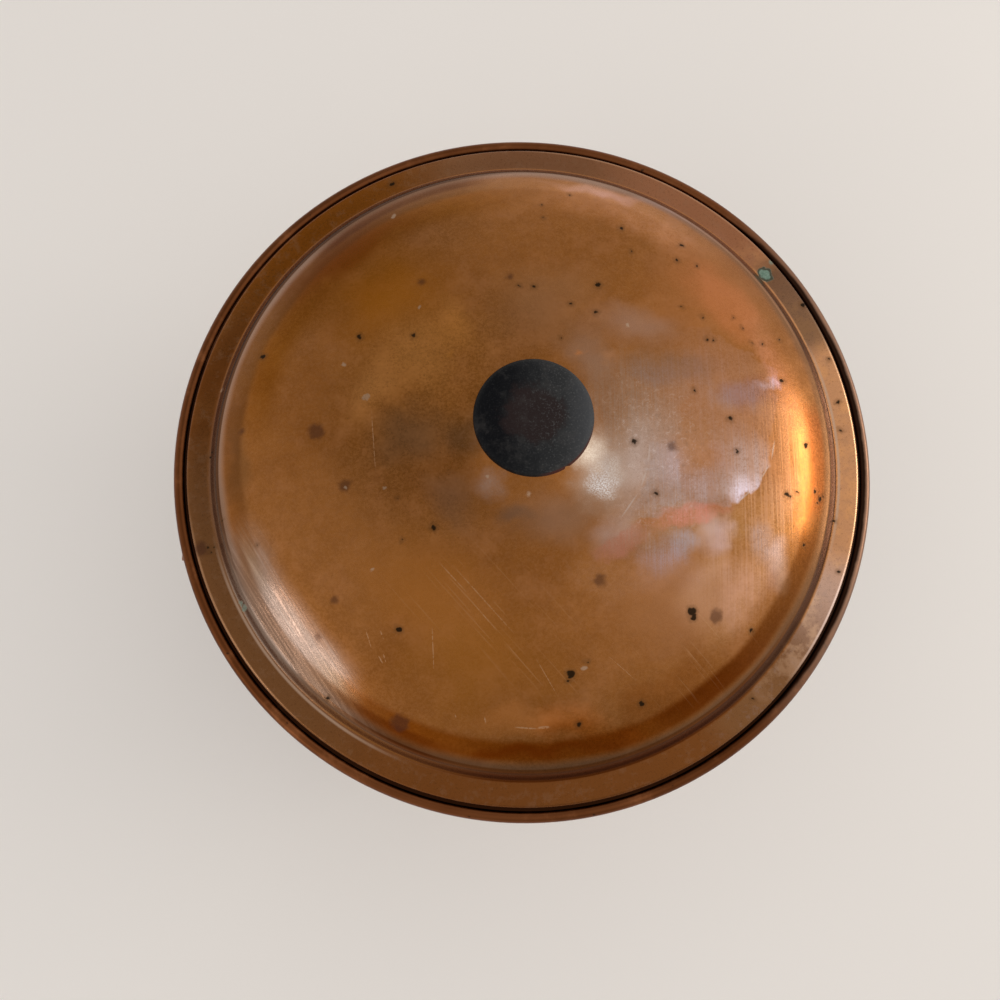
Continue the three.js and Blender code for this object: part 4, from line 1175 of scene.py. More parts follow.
# %% Scratches
def line(x0, y0, x1, y1, width):
    """How near the metal is to a scratch between two pixels: below 1 is on it."""
    a, b = on_lid(x0, y0), on_lid(x1, y1)
    run = b - a
    turn = math.atan2(run.y, run.x)
    return from_middle((a + b) / 2, turn, run.xy.length / 2, width * MM / 2, lid.place)


# A scratch: the pixels of its two ends and its width in mm.
scratches = [(432, 622, 434, 674, 0.4), (437, 560, 470, 596, 0.4), (448, 560, 520, 640, 0.35),
             (470, 600, 500, 634, 0.3), (365, 628, 372, 650, 0.4), (378, 655, 383, 664, 0.6),
             (383, 653, 386, 663, 0.5), (380, 630, 384, 640, 0.5), (371, 405, 376, 478, 0.4),
             (534, 655, 560, 700, 0.3), (536, 728, 552, 727, 1.4), (484, 716, 486, 724, 0.8),
             (455, 713, 456, 718, 0.7), (604, 652, 640, 684, 0.3), (512, 727, 540, 729, 0.8)]
nearest = reduce(lid.least, (line(*scratch) for scratch in scratches))
scratched = lid.times(lid.between(nearest, 1.0, 0.5), lid.between(grain, 0.38, 0.55))
lid_tone = washed(lid_tone, scratched, (0.574, 0.344, 0.197), 0.6)
drip_side = [(650, 443), (648, 466), (640, 490), (619, 521)]
film_side = [(775, 438), (771, 462), (757, 485), (735, 505)]
sides = [*zip(drip_side, drip_side[1:]), *zip(film_side, film_side[1:])]
film_edge = reduce(lid.least, (line(*start, *end, 1.0) for start, end in sides))
lid_tone = washed(lid_tone, lid.between(film_edge, 1.0, 0.3), (0.560, 0.450, 0.390), 0.45)
print("scratches:", len(scratches))


# %% Places of pits, stains and pale marks
crisp_plan = lid.vector("MULTIPLY", crisp, (TO_MM, TO_MM, 0))


def distance_to(marks):
    """Signed distance in mm to the nearest of many round marks given by pixel and radius."""

    def gap(across, down, radius):
        middle = on_lid(across, down) * TO_MM
        away = lid.vector("DISTANCE", crisp_plan, (middle.x, middle.y, 0), output=1)
        return lid.minus(away, radius)

    return reduce(lid.least, (gap(*mark) for mark in marks))


pits = [(434, 528, 1.5), (399, 630, 1.4), (571, 674, 1.7), (569, 681, 0.9), (692, 611, 1.9),
        (692.6, 617, 1.5), (641.5, 704, 1.2), (752, 631, 1.0), (578, 725, 1.0), (752.6, 698, 0.7),
        (519, 286, 0.8), (534, 287, 0.8), (598, 285, 1.5), (621, 228, 1.3), (681, 245, 1.2),
        (677, 260, 1.1), (631, 252, 0.7), (697, 266, 0.9), (571, 304, 0.8), (596, 312, 0.9),
        (561, 338, 0.7), (803, 305, 1.4), (779, 340, 0.7), (782, 381, 1.2), (694, 390, 0.8),
        (730, 418.5, 1.2), (737, 451, 0.8), (633.5, 442, 1.0), (656, 493, 0.9), (806, 445, 1.2),
        (838, 402, 1.0), (840, 430, 0.8), (829, 360, 0.7), (787, 494, 1.3), (790, 496, 0.8),
        (797, 493, 0.6), (815, 492, 0.9), (820, 498, 1.1), (818, 503, 0.8), (823, 496, 0.8),
        (804, 546, 0.8), (834, 521, 0.8), (392, 184, 1.5), (733, 318, 0.6), (742, 328, 0.6),
        (752, 343, 0.6), (762, 344, 0.7), (714, 340, 0.7), (707, 339, 0.7), (702, 317, 0.6),
        (682, 307, 0.6), (541, 205, 0.7), (543, 218, 0.5), (570, 195, 0.7), (211, 458, 1.0),
        (212.5, 453, 0.9), (209, 548, 0.7), (214, 547, 0.7), (210, 552, 0.6), (222, 520, 0.7),
        (328, 699, 1.0), (587, 661, 0.5), (838, 572, 0.8), (402, 540, 0.6), (257, 545, 0.5),
        (398, 499, 0.4), (360, 337, 1.3), (413, 336, 1.2), (263, 357, 1.5)]
pit_gap = distance_to(pits)
pitted = lid.between(pit_gap, 0.05, -0.6)
pit_halo = lid.between(pit_gap, 1.6, 0.0)
stains = [(316, 431, 3.4), (400, 723, 3.6), (242, 432, 1.2), (421, 282, 1.8), (510, 277, 1.7),
          (201, 549, 3.2), (600, 580, 2.6), (716, 616, 3.0), (318, 637, 1.2), (672, 446, 2.2),
          (345, 486, 2.6), (335, 600, 1.8)]
stain_gap = distance_to(stains)
stained = lid.between(stain_gap, 1.2, -1.4)
pale_marks = [(366, 397, 1.5), (346, 488, 0.7), (373, 570, 0.7), (385, 488, 0.6), (222, 390, 1.1),
              (420, 307, 0.8), (344, 365, 0.9), (584, 668, 0.9), (628, 326, 0.9), (487, 477, 0.9),
              (394, 216, 1.4)]
pale_gap = distance_to(pale_marks)
paled = lid.between(pale_gap, 0.35, -0.4)
print("pits:", len(pits), "stains:", len(stains), "pale marks:", len(pale_marks))

# %% Marks in the tone and the gloss
lid_tone = washed(lid_tone, stained, (0.070, 0.026, 0.016), 0.62)
lid_tone = washed(lid_tone, pit_halo, (0.115, 0.051, 0.018), 0.35)
lid_tone = washed(lid_tone, pitted, (0.013, 0.009, 0.005), 0.92)
lid_tone = washed(lid_tone, paled, (0.492, 0.353, 0.246), 0.55)
RIGHT_GLINT = (806, 478)
rubbed = lid.most(lower_left_film_and_sheen, oval(*RIGHT_GLINT, 14, 40))
lid_rough = lid.minus(lid_rough, lid.times(rubbed, 0.09))
lid_rough = lid.plus(lid_rough, lid.times(pitted, 0.3))
finely_brushed = lid.blend(lower_left_film_and_sheen, lid.times(streak, right_side), streak_low)
lid_rough = lid.plus(lid_rough, lid.between(finely_brushed, 0.0, 1.0, -0.02, 0.05, smooth=False))
print("nodes so far:", len(lid.tree.nodes))

# %% Verdigris
GREEN_SPOT = (765, 274)
green_gap = distance_to([(*GREEN_SPOT, 3.5), (767, 276, 2.8)])
green = lid.between(green_gap, 0.3, -0.3)
dark_border = lid.times(green, lid.between(green_gap, -1.6, -0.7))
specks_gap = distance_to([(244, 608, 1.4), (241, 603, 0.9), (771, 262, 1.2)])
small_green = lid.between(specks_gap, 0.5, -0.6)
green_tone = lid.mix(lid.between(grain, 0.35, 0.65), srgb(94, 128, 112), srgb(132, 158, 142))
green_tone = lid.mix(dark_border, green_tone, srgb(60, 66, 50))
all_green = lid.most(green, lid.times(small_green, 0.6))
lid_tone = lid.mix(lid.times(all_green, 0.92), lid_tone, green_tone)
lid_metal = lid.minus(1.0, lid.times(all_green, 0.9))
lid_rough = lid.most(lid_rough, lid.times(all_green, 0.85))
print("the green spot lies at", [round(c / MM, 1) for c in on_lid(*GREEN_SPOT)])

# %% Relief, and the lid's two sides
relief = lid.plus(lid.times(mottle, 0.6), lid.times(grain, 0.32))
relief = lid.minus(relief, lid.times(pitted, 1.2))
relief = lid.plus(relief, lid.times(all_green, 1.5))
relief = lid.plus(relief, lid.times(lid.times(streak, right_side), 0.3))
relief = lid.plus(relief, lid.times(lid.times(streak_low, lower_left_film_and_sheen), 0.5))
relief = lid.minus(relief, lid.times(lid.most(scratched, hairlines), 0.5))
lid_copper = lid.surface(Base_Color=lid_tone, Metallic=lid_metal, Roughness=lid_rough,
                         Normal=lid.bump(relief, 0.12, 0.0004))
print("lid finish:", len(lid.tree.nodes), "nodes")
lid_cover.data.materials.clear()
lid_cover.data.materials.append(lid_copper)
lid_cover.data.materials.append(tin_lining)
TINNED_TO = 148
for face in lid_cover.data.polygons:
    reach = face.center.xy.length / MM
    if reach < TINNED_TO and face.center.z / MM < lid_height(reach) - SHEET / 2:
        face.material_index = 1
settle(lid_cover, "lid", "aged_copper", lid_copper, "lid_cover")

# %% [markdown]
# ## The knob
# The knob is turned wood, stained black. It stands on a small metal ferrule, and one screw from
# inside the lid holds both. Its flat top has worn to a brown disc, and the rim has lost a chip. Its
# right half, towards the window, is painted lighter and greyer as light falling there, with a pale
# painted sheen on its right rim and grey speckles that are thicker there. One noise would spread all
# this evenly, so each of these has a mask of its own. The chip is cut out of the mesh, because it
# shows in the outline.

# %% The knob's finish
wood = Finish("knob_wood")
worn = wood.noise(150, 5, 0.7)
specks = wood.noise(1500, 2, 0.6)
to_the_right = wood.add("SeparateXYZ", {0: wood.place}, "X")
# Painted light: the knob's right half, towards the window, is lighter and greyer than its left.
lit_right_half = wood.between(wood.plus(to_the_right, wood.times(worn, 0.02)), -0.004, 0.026)
tone = wood.mix(lit_right_half, (0.0015, 0.0018, 0.0030, 1), (0.028, 0.029, 0.030, 1))
# Painted sheen: a pale bluish band on the right rim.
right_rim_sheen = wood.plus(to_the_right, wood.times(worn, 0.012))
right_rim_sheen = wood.between(right_rim_sheen, 0.016, 0.028, 0.0, 0.6)
tone = wood.mix(right_rim_sheen, tone, (0.070, 0.073, 0.080, 1))
off_centre = wood.plus(wood.from_axis(), wood.between(worn, 0.3, 0.7, -2.5, 2.5))
disc = wood.between(off_centre, 13.5, 8.5)
tone = wood.mix(wood.times(disc, 0.85), tone, (0.022, 0.0125, 0.0115, 1))
tone = wood.mix(wood.between(worn, 0.5, 0.72, 0.0, 0.35), tone, (0.050, 0.045, 0.042, 1))
# Grey speckles, thicker on the lit right half.
speckled = wood.times(wood.between(specks, 0.54, 0.70), wood.between(lit_right_half, 0, 1, 0.1, 0.6))
tone = wood.mix(speckled, tone, (0.085, 0.085, 0.085, 1))
red_edge = wood.times(wood.facing(-48, 0.75, 0.95), wood.between(wood.from_axis(), 21.6, 22.3))
tone = wood.mix(wood.times(red_edge, 0.8), tone, (0.085, 0.020, 0.013, 1))
relief = wood.plus(worn, wood.times(specks, 0.4))
knob_black = wood.surface(Base_Color=tone, Roughness=wood.between(worn, 0.35, 0.7, 0.42, 0.6),
                          Specular_IOR_Level=0.1, Normal=wood.bump(relief, 0.3, 0.0003))
print("knob finish:", len(wood.tree.nodes), "nodes")


# %% Plain sections
def eased_box(left, right, low, high, ease, steps=4):
    """A rectangle with eased corners; turned by the lathe it is a plain tube."""
    return softened([(left, low), (right, low), (right, high), (left, high)], ease, steps)


def rod(radius, low, high, sides):
    """A plain upright rod, to bore holes with."""
    return lathe("rod", [(0, low), (radius, low), (radius, high), (0, high)], sides)


print("an eased box has", len(eased_box(0, 2, 0, 1, 0.2)), "points")


# %% Knob
CLEARANCE = 0.3
BOSS_HEIGHT = lid_height(0)
FERRULE_HEIGHT = 4
FERRULE_FOOT = BOSS_HEIGHT + CLEARANCE
KNOB_FOOT = BOSS_HEIGHT + FERRULE_HEIGHT + 2 * CLEARANCE
KNOB_RADIUS = 22.5
KNOB_HEIGHT = 27
KNOB_BORE = 14.3
WORN_RISE = 0.05
neck = [(9.2, 0), (8.74, 0.06), (8.0, 0.2), (9.02, 0.36), (14.26, 0.55), (19.69, 0.68), (22.08, 0.79)]
cap_shares = [(1, 0.86), (0.965, 0.925), (0.85, 0.972), (0.5, 1)]
knob_side = [(r, KNOB_FOOT + KNOB_HEIGHT * z) for r, z in neck]
knob_side += [(KNOB_RADIUS * r, KNOB_FOOT + KNOB_HEIGHT * z) for r, z in cap_shares]
knob_top = KNOB_FOOT + KNOB_HEIGHT
bore_top = KNOB_FOOT + KNOB_BORE
knob_outline = [(0, bore_top), (SCREW_HOLE, bore_top), (SCREW_HOLE, KNOB_FOOT)]
knob_outline += smooth_line(knob_side, 60)
knob_outline += [(r, knob_top + WORN_RISE) for r in (10, 8.5, 7, 5.5, 4, 2.5, 1, 0)]
lid_knob = lathe("lid_knob_turned", knob_outline, SPUN_SIDES, 50)
chip = placed(rod(1.3, knob_top - 9, knob_top + 2, 12), -57, (KNOB_RADIUS + 0.5, 0, 0))
lid_knob = bored(lid_knob, [chip], 50)
settle(lid_knob, "lid", "ebonised_wood", knob_black, "lid_knob")

# %% Ferrule, washer and screw
ferrule_outline = [(SCREW_HOLE, 0), (10.7, 0), (10.7, 1.2), (9.2, 2.0), (9.2, 3.4), (10.7, FERRULE_HEIGHT)]
ferrule_outline = softened([*ferrule_outline, (SCREW_HOLE, FERRULE_HEIGHT)], 0.35)
ferrule_outline = [(r, FERRULE_FOOT + z) for r, z in ferrule_outline]
knob_ferrule = lathe("knob_ferrule_turned", ferrule_outline, TURNED_SIDES)
settle(knob_ferrule, "lid", "aged_copper", pan_copper, "knob_ferrule")

WASHER_TOP = BOSS_HEIGHT - SHEET - CLEARANCE
washer_outline = eased_box(SCREW_HOLE, 8, WASHER_TOP - 1, WASHER_TOP, 0.25)
knob_washer = lathe("knob_washer_stamped", washer_outline, TURNED_SIDES)
settle(knob_washer, "lid", "lamp_brass", lamp_brass, "knob_washer")

HEAD_TOP = WASHER_TOP - 1 - CLEARANCE
HEAD_RADIUS = 5
SHANK = 2.3
shank_top = KNOB_FOOT + 14
screw_outline = [(0, HEAD_TOP - 3.6), *arc((0, HEAD_TOP + 1.2), 4.8, -90, -26, 8)[1:]]
screw_outline += [(HEAD_RADIUS, HEAD_TOP - 0.4), (HEAD_RADIUS, HEAD_TOP), (SHANK, HEAD_TOP)]
screw_outline += [(SHANK, shank_top - 1), (1.4, shank_top), (0, shank_top)]
knob_screw = lathe("knob_screw_slotted", screw_outline, SMALL_SIDES)
slot_plan = [(-6, -0.6), (6, -0.6), (6, 0.6), (-6, 0.6)]
slot = sweep("slot", [[(x, y, z) for x, y in slot_plan] for z in (HEAD_TOP - 5, HEAD_TOP - 1.7)])
knob_screw = bored(knob_screw, [slot])
settle(knob_screw, "lid", "steel", dull_steel, "knob_screw")

# %% [markdown]
# ## The two pans
# The food pan hangs in the water pan by its wide ledge, and its edge is rolled over a wire. Each pan
# could be a solid with a hollow cut out, but real pans are one sheet. So each is one skin from the
# middle of its bottom outwards, given its thickness by an offset, and then the roll. The insides are
# tinned.

# %% Food pan
PAN_SHEET = 1.2
PAN_BEND = 14
FOOD_BOTTOM = 139.6
FOOD_FOOT = 131.2
LEDGE_START = 143.2
LEDGE_UNDER = 191.6
LEDGE_BEND = 3
FOOD_TINNED = 146.5
food_under = [(0, FOOD_BOTTOM)]
food_under += arc((FOOD_FOOT - PAN_BEND, FOOD_BOTTOM + PAN_BEND), PAN_BEND, -90, 0, 10)
food_under += arc((LEDGE_START + LEDGE_BEND, LEDGE_UNDER - LEDGE_BEND), LEDGE_BEND, 180, 90, 8)
food_roll = arc((154.0, LEDGE_UNDER + 0.1), 2.6, -177.8, 154.97, 28)
food_inside = offset_skin(food_under, PAN_SHEET)
food_inside[0] = (0, FOOD_BOTTOM + PAN_SHEET)


def tin_the_inside(pan, edge, outside):
    """Gives the tin lining to the faces within this radius that look up or towards the middle."""
    pan.data.materials.append(outside)
    pan.data.materials.append(tin_lining)
    for face in pan.data.polygons:
        inwards = face.normal.z > 0.3 or face.normal.xy.dot(face.center.xy) < 0
        if face.center.xy.length < edge * MM and inwards:
            face.material_index = 1


food_pan = lathe("food_pan_spun", [*food_under, *food_roll, *reversed(food_inside)])
tin_the_inside(food_pan, FOOD_TINNED, rim_copper)
settle(food_pan, "food_pan", "pan_copper", rim_copper, "food_pan")

# %% Water pan
WATER_BOTTOM = 117.3
WATER_FOOT = 134
SEAT_RADIUS = 137
SEAT_LOW = 144.3
SEAT_HIGH = 158.3
BAND_RADIUS = 146
BAND_BEND = 4
WATER_TINNED = 144.9
water_outside = [(0, WATER_BOTTOM)]
water_outside += arc((WATER_FOOT - PAN_BEND, WATER_BOTTOM + PAN_BEND), PAN_BEND, -90, 0, 10)
water_outside += [(SEAT_RADIUS, SEAT_LOW), (SEAT_RADIUS, SEAT_HIGH)]
water_outside += arc((BAND_RADIUS - BAND_BEND, SEAT_HIGH + BAND_BEND), BAND_BEND, -90, 0, 8)
water_roll = arc((BAND_RADIUS + 1, 189.1), 2.2, -117.04, 180, 24)
water_inside = offset_skin(water_outside, PAN_SHEET)
water_inside[0] = (0, WATER_BOTTOM + PAN_SHEET)
water_pan = lathe("water_pan_spun", [*water_outside, *water_roll, *reversed(water_inside)])
tin_the_inside(water_pan, WATER_TINNED, pan_copper)
settle(water_pan, "water_pan", "pan_copper", pan_copper, "water_pan")

# %% [markdown]
# ## Drop handles
# On each side a curved strap is riveted to the water pan's band. Its two ears carry a wire bail, which
# was sprung in and its ends peened over, and a turned grip is threaded on the wire. The strap is a
# sweep round the pan, and its ends are rounded by letting the section shrink along a quarter circle.

# %% Straps
PIVOT = Vector((152, 0, 175.3))
STRAP_INNER = BAND_RADIUS + CLEARANCE
STRAP_OUTER = STRAP_INNER + 2
STRAP_HALF = 7.5
STRAP_CORNER = 3
STRAP_REACH = math.radians(20)
EAR_ASIDE = 42
EAR_HALF = 4
EAR_BORE = 2.3
EAR_RADIUS = 4.5
ear_web = ((140.6, 1.35), (142.4, 1.3), (143.4, 1.1), (144.8, 1.0), (149.0, 1.0))


def strap_section(turn, half):
    """The strap's section at one angle round the pan, its corners eased."""
    section = eased_box(STRAP_INNER, STRAP_OUTER, -half, half, 0.6, 3)
    return [(r * math.cos(turn), r * math.sin(turn), PIVOT.z + z) for r, z in section]


def handle_strap(name):
    corner = STRAP_CORNER / STRAP_OUTER
    straight = STRAP_REACH - corner
    close = [STRAP_REACH - corner * (1 - math.cos(a)) for a in np.linspace(0.05, math.pi / 2, 7)]
    turns = [-a for a in close] + list(np.linspace(-straight, straight, 40)[1:-1]) + close[::-1]
    rings = []
    for turn in turns:
        left = max(0.0, abs(turn) - straight) / corner
        half = STRAP_HALF - STRAP_CORNER * (1 - math.sqrt(max(0.0, 1 - left ** 2)))
        rings.append(strap_section(turn, half))
    parts = [sweep("plate", rings)]
    for side in (-1, 1):
        barrel = lathe("barrel", eased_box(EAR_BORE, EAR_RADIUS, -EAR_HALF, EAR_HALF, 0.5), SMALL_SIDES)
        parts.append(placed(barrel, shift=(PIVOT.x, side * EAR_ASIDE, PIVOT.z), lean=(90, "X")))
        web = []
        for x, flare in ear_web:
            y, z = 3.9 * flare, 3 * flare
            web.append([(x, side * EAR_ASIDE + u, PIVOT.z + v) for u, v in eased_box(-y, y, -z, z, 0.8, 3)])
        parts.append(sweep("web", web))
    return joined(name, parts)


# %% Bails
DROP = 36
BAIL_HALF = 50
BAIL_END = 37.6
WIRE_RADIUS = 2.0
GRIP_HALF = 29
GRIP_END = 4.61
GRIP_SWELL = 1.79


def rounded_path(corners, bend, steps=10):
    """A path through corners in space, each rounded by a bend of this reach."""
    path = [Vector(corners[0])]
    for before, corner, after in zip(corners, corners[1:], corners[2:]):
        corner = Vector(corner)
        start = corner + (Vector(before) - corner).normalized() * bend
        end = corner + (Vector(after) - corner).normalized() * bend
        for t in np.linspace(0, 1, steps + 1):
            path.append((1 - t) ** 2 * start + 2 * t * (1 - t) * corner + t ** 2 * end)
    return path + [Vector(corners[-1])]


def bail(name):
    high, low = PIVOT.z, PIVOT.z - DROP
    half = [(BAIL_END, high), (BAIL_HALF, high), (BAIL_HALF, low)]
    corners = [(PIVOT.x, -y, z) for y, z in half] + [(PIVOT.x, y, z) for y, z in reversed(half)]
    parts = [tube("wire", rounded_path(corners, 6), WIRE_RADIUS, 24)]
    peened = [(0, -0.9), (1.5, -0.8), (2.5, -0.35), (2.9, 0.1), (2.6, 0.45), (0, 0.45)]
    for side in (-1, 1):
        head = lathe("head", peened, 24)
        parts.append(placed(head, shift=(PIVOT.x, side * 37.3, PIVOT.z), lean=(-90 * side, "X")))
    return joined(name, parts)


# %% Grips, and both sides
def grip(name):
    shares = np.linspace(-1, 1, 25)
    swell = [GRIP_END + GRIP_SWELL * (1 - t ** 2) - 0.5 * abs(t) ** 24 for t in shares]
    outline = [(EAR_BORE, 0.6 - GRIP_HALF), (2.9, -GRIP_HALF)]
    outline += [(r, GRIP_HALF * t) for r, t in zip(swell, shares)]
    outline += [(2.9, GRIP_HALF), (EAR_BORE, GRIP_HALF - 0.6)]
    turned = lathe(name, outline, SMALL_SIDES)
    return placed(turned, shift=(PIVOT.x, 0, PIVOT.z - DROP), lean=(90, "X"))


for side, turn in (("right", 0), ("left", 180)):
    strap = placed(handle_strap(side + "_strap_formed"), turn)
    settle(strap, "water_pan", "pan_copper", pan_copper, side + "_handle_strap")
    wire = placed(bail(side + "_bail_bent"), turn)
    settle(wire, side + "_handle", "pan_copper", stand_copper, side + "_bail")
    handle = placed(grip(side + "_grip_turned"), turn)
    settle(handle, side + "_handle", "ebonised_wood", grip_wood, side + "_grip")

# %% [markdown]
# ## The stand
# A hoop holds the water pan. Three cabriole legs of heavy strip are riveted to it, and each stands on
# a turned bun foot. Three thinner arms run in from the legs' waists to the ring that holds the lamp.
# Legs and arms are bars of even thickness along a curve, so one function draws them both.

# %% Hoop and lamp ring
hoop_section = softened([(137.6, 144), (141, 144), (141, 156.8), (140.4, 158), (137.6, 158)], 0.7)
settle(lathe("stand_hoop_rolled", hoop_section), "stand", "stand_copper", stand_copper, "stand_hoop")
lamp_ring = lathe("lamp_ring_rolled", eased_box(43.6, 46.6, 29, 40, 0.6), TURNED_SIDES)
settle(lamp_ring, "stand", "stand_copper", stand_copper, "lamp_ring")


# %% Bars along a curve
def bar(name, line, thickness, width, ease, toe=False):
    """A flat bar with rounded edges along a line of radius and height; a toe closes its far end."""
    centre = np.array(line)
    run = np.gradient(centre, axis=0)
    run /= np.linalg.norm(run, axis=1)[:, None]
    rings = []
    toe_start = len(line) - 7
    for i, (point, along) in enumerate(zip(centre, run)):
        half_thick, half_wide = thickness / 2, width / 2
        if toe and i > toe_start:
            close = math.sqrt(max(0.02, 1 - ((i - toe_start) / 6) ** 2))
            half_thick *= close
            half_wide -= (1 - close) * thickness / 2
        section = eased_box(-half_thick, half_thick, -half_wide, half_wide, ease, 5)
        rings.append([(point[0] + along[1] * u, v, point[1] - along[0] * u) for u, v in section])
    return sweep(name, rings, 40)


# %% Legs, feet and arms
FOOT_OUT = 144.6
leg_line = [(143.6, 157.7), (143.6, 150.85), (143.6, 144), (139.12, 122.4), (130.16, 93.6), (127.6, 72)]
leg_line += [(129.84, 44.6), (137.2, 20.84), (FOOT_OUT, 11.1), (150.6, 13.2), (153.0, 17.1)]
arm_line = [(48.4, 40), (48.4, 34.5), (50.65, 26.8), (59.7, 24.05), (78.4, 29), (100.9, 46.5)]
arm_line += [(116.0, 60.54), (121.7, 66), (123.5, 72), (123.5, 78)]
foot_side = [(9.02, 0), (11, 2.7), (11, 5.22), (9.46, 7.56), (6.5, 9)]
foot_outline = [(0, 0), (8.4, 0), *smooth_line(foot_side, 26)[1:], (0, 9)]

LEG_TURNS = {"front": -90, "rear_right": 30, "rear_left": 150}
for place, turn in LEG_TURNS.items():
    leg = bar(place + "_leg_formed", smooth_line(leg_line, 72), 4.6, 14, 1.6, toe=True)
    settle(placed(leg, turn), "stand", "stand_copper", stand_copper, place + "_leg")
    foot = lathe(place + "_foot_turned", foot_outline, SMALL_SIDES)
    foot = placed(foot, turn, (FOOT_OUT, 0, 0))
    settle(foot, "stand", "ebonised_wood", foot_wood, place + "_foot")
    arm = bar(place + "_arm_formed", smooth_line(arm_line, 60), 3, 10, 1.0)
    settle(placed(arm, turn), "stand", "stand_copper", stand_copper, place + "_arm")

# %% [markdown]
# ## Rivets
# Legs, arms and straps are held by rivets with low domed heads. A head is one shape many times over,
# so each rivet is only a point with a direction, and a tree of nodes puts a head on every point.

# %% Rivet heads from points
riveting = Growth("rivet_heads", **{"head radius": 1.9 * MM, "head height": 0.95 * MM})
ball_sizes = {"Segments": 20, "Rings": 12, "Radius": riveting.size("head radius")}
ball = riveting.add("GeometryNodeMeshUVSphere", ball_sizes)
flatness = riveting.over(riveting.size("head height"), riveting.size("head radius"))
squeezed = riveting.add("CombineXYZ", {0: 1.0, 1: 1.0, 2: flatness})
head = riveting.add("GeometryNodeTransform", {"Geometry": ball, "Scale": squeezed})
outwards = riveting.add("GeometryNodeInputNamedAttribute", {"Name": "outwards"}, data_type="FLOAT_VECTOR")
turned_out = riveting.add("FunctionNodeAlignRotationToVector", {"Vector": outwards}, axis="Z")
on_points = {"Points": riveting.given, "Instance": head, "Rotation": turned_out}
riveting.finish(riveting.add("GeometryNodeInstanceOnPoints", on_points), stand_copper)


def rivets(name, places, finish):
    """A mesh of rivet heads; each place is an azimuth in degrees, a radius and a height in mm."""
    mesh = bpy.data.meshes.new(name)
    around = [(math.radians(a), r, z) for a, r, z in places]
    mesh.from_pydata([(r * MM * math.cos(a), r * MM * math.sin(a), z * MM) for a, r, z in around], [], [])
    directions = mesh.attributes.new("outwards", "FLOAT_VECTOR", "POINT")
    for item, (a, _, _) in zip(directions.data, around):
        item.vector = (math.cos(a), math.sin(a), 0)
    piece = bpy.data.objects.new(name, mesh)
    scene.collection.objects.link(piece)
    grow(piece, riveting)
    piece.data.materials.clear()
    piece.data.materials.append(finish)
    print(name, "has", len(places), "heads")
    return piece


leg_rivets = ((145.9, 155), (145.9, 147), (129.9, 75), (129.9, 69), (49.9, 34.5))
stand_places = [(turn, r, z) for turn in LEG_TURNS.values() for r, z in leg_rivets]
settle(rivets("stand_rivets", stand_places, stand_copper), "stand", "stand_copper", stand_copper)
strap_places = [(turn + a, STRAP_OUTER, PIVOT.z) for turn in (0, 180) for a in (-10.5, -5, 5, 10.5)]
settle(rivets("strap_rivets", strap_places, pan_copper), "water_pan", "pan_copper", pan_copper)

# %% [markdown]
# ## The spirit lamp
# The lamp is a brass cup packed with cotton, under a domed top. Its burner is a tube with a wick, and
# a woven gauze covers the wick. A pierced sleeve turns on the tube to let in more or less air, and a
# cap hinged behind the burner swings over to put the flame out. Round pieces come off the lathe, and
# holes are bored by booleans, because a hole that only looks dark would show its closed skin nearby.

# %% Reservoir, top and filler neck
NECK_ASIDE = -31
NECK_HOLE = 6.1
cup_corner = arc((37, 20.3), 6, -90, 0, 8)
cup_inner = arc((37, 20.3), 5, 0, -90, 8)
cup_rim = [(43, 40.3), *softened([(46.4, 40.3), (46.4, 42.3)], 0.7, 4, closed=False), (42, 42.3)]
cup = [(0, 14.3), *cup_corner, *cup_rim, *cup_inner, (0, 15.3)]
reservoir = lathe("lamp_reservoir_spun", cup, TURNED_SIDES * 2)
settle(reservoir, "lamp", "lamp_brass", lamp_brass, "lamp_reservoir")

DOME_FOOT = 42.6
dome_line = [(46.4, DOME_FOOT), (46.4, 44.36), (43.62, 46.6), (33.87, 49.32), (19, 50.6)]
dome_skin = [*smooth_line(dome_line, 28), (16.6, 50.6)]
dome_inner = [(r, max(z, DOME_FOOT)) for r, z in offset_skin(dome_skin, 1.0)]
lamp_dome = lathe("lamp_top_spun", [*dome_skin, *reversed(dome_inner)], TURNED_SIDES * 2)
neck_hole = placed(rod(NECK_HOLE, 40, 60, SMALL_SIDES), shift=(NECK_ASIDE, 0, 0))
lamp_dome = bored(lamp_dome, [neck_hole])
settle(lamp_dome, "lamp", "lamp_brass", lamp_brass, "lamp_top")

neck_tube = lathe("filler_neck_drawn", eased_box(4.8, 6, 46.2, 56.6, 0.3), SMALL_SIDES)
neck_tube = placed(neck_tube, shift=(NECK_ASIDE, 0, 0))
settle(neck_tube, "lamp", "lamp_brass", lamp_brass, "filler_neck")

# %% Burner tube and regulator sleeve
TUBE_INNER = 15.1
TUBE_OUTER = 16.3
COLLAR = 19
HOLES_HEIGHT = 57.8
HOLE_RADIUS = 2.6
LEVER_TURN = -50


def with_air_holes(piece):
    """Bores six holes by three rods that pass right through."""
    rods = []
    for turn in (0, 60, 120):
        rods.append(placed(rod(HOLE_RADIUS, -24, 24, 32), turn, (0, 0, HOLES_HEIGHT), (90, "Y")))
    return bored(piece, rods)


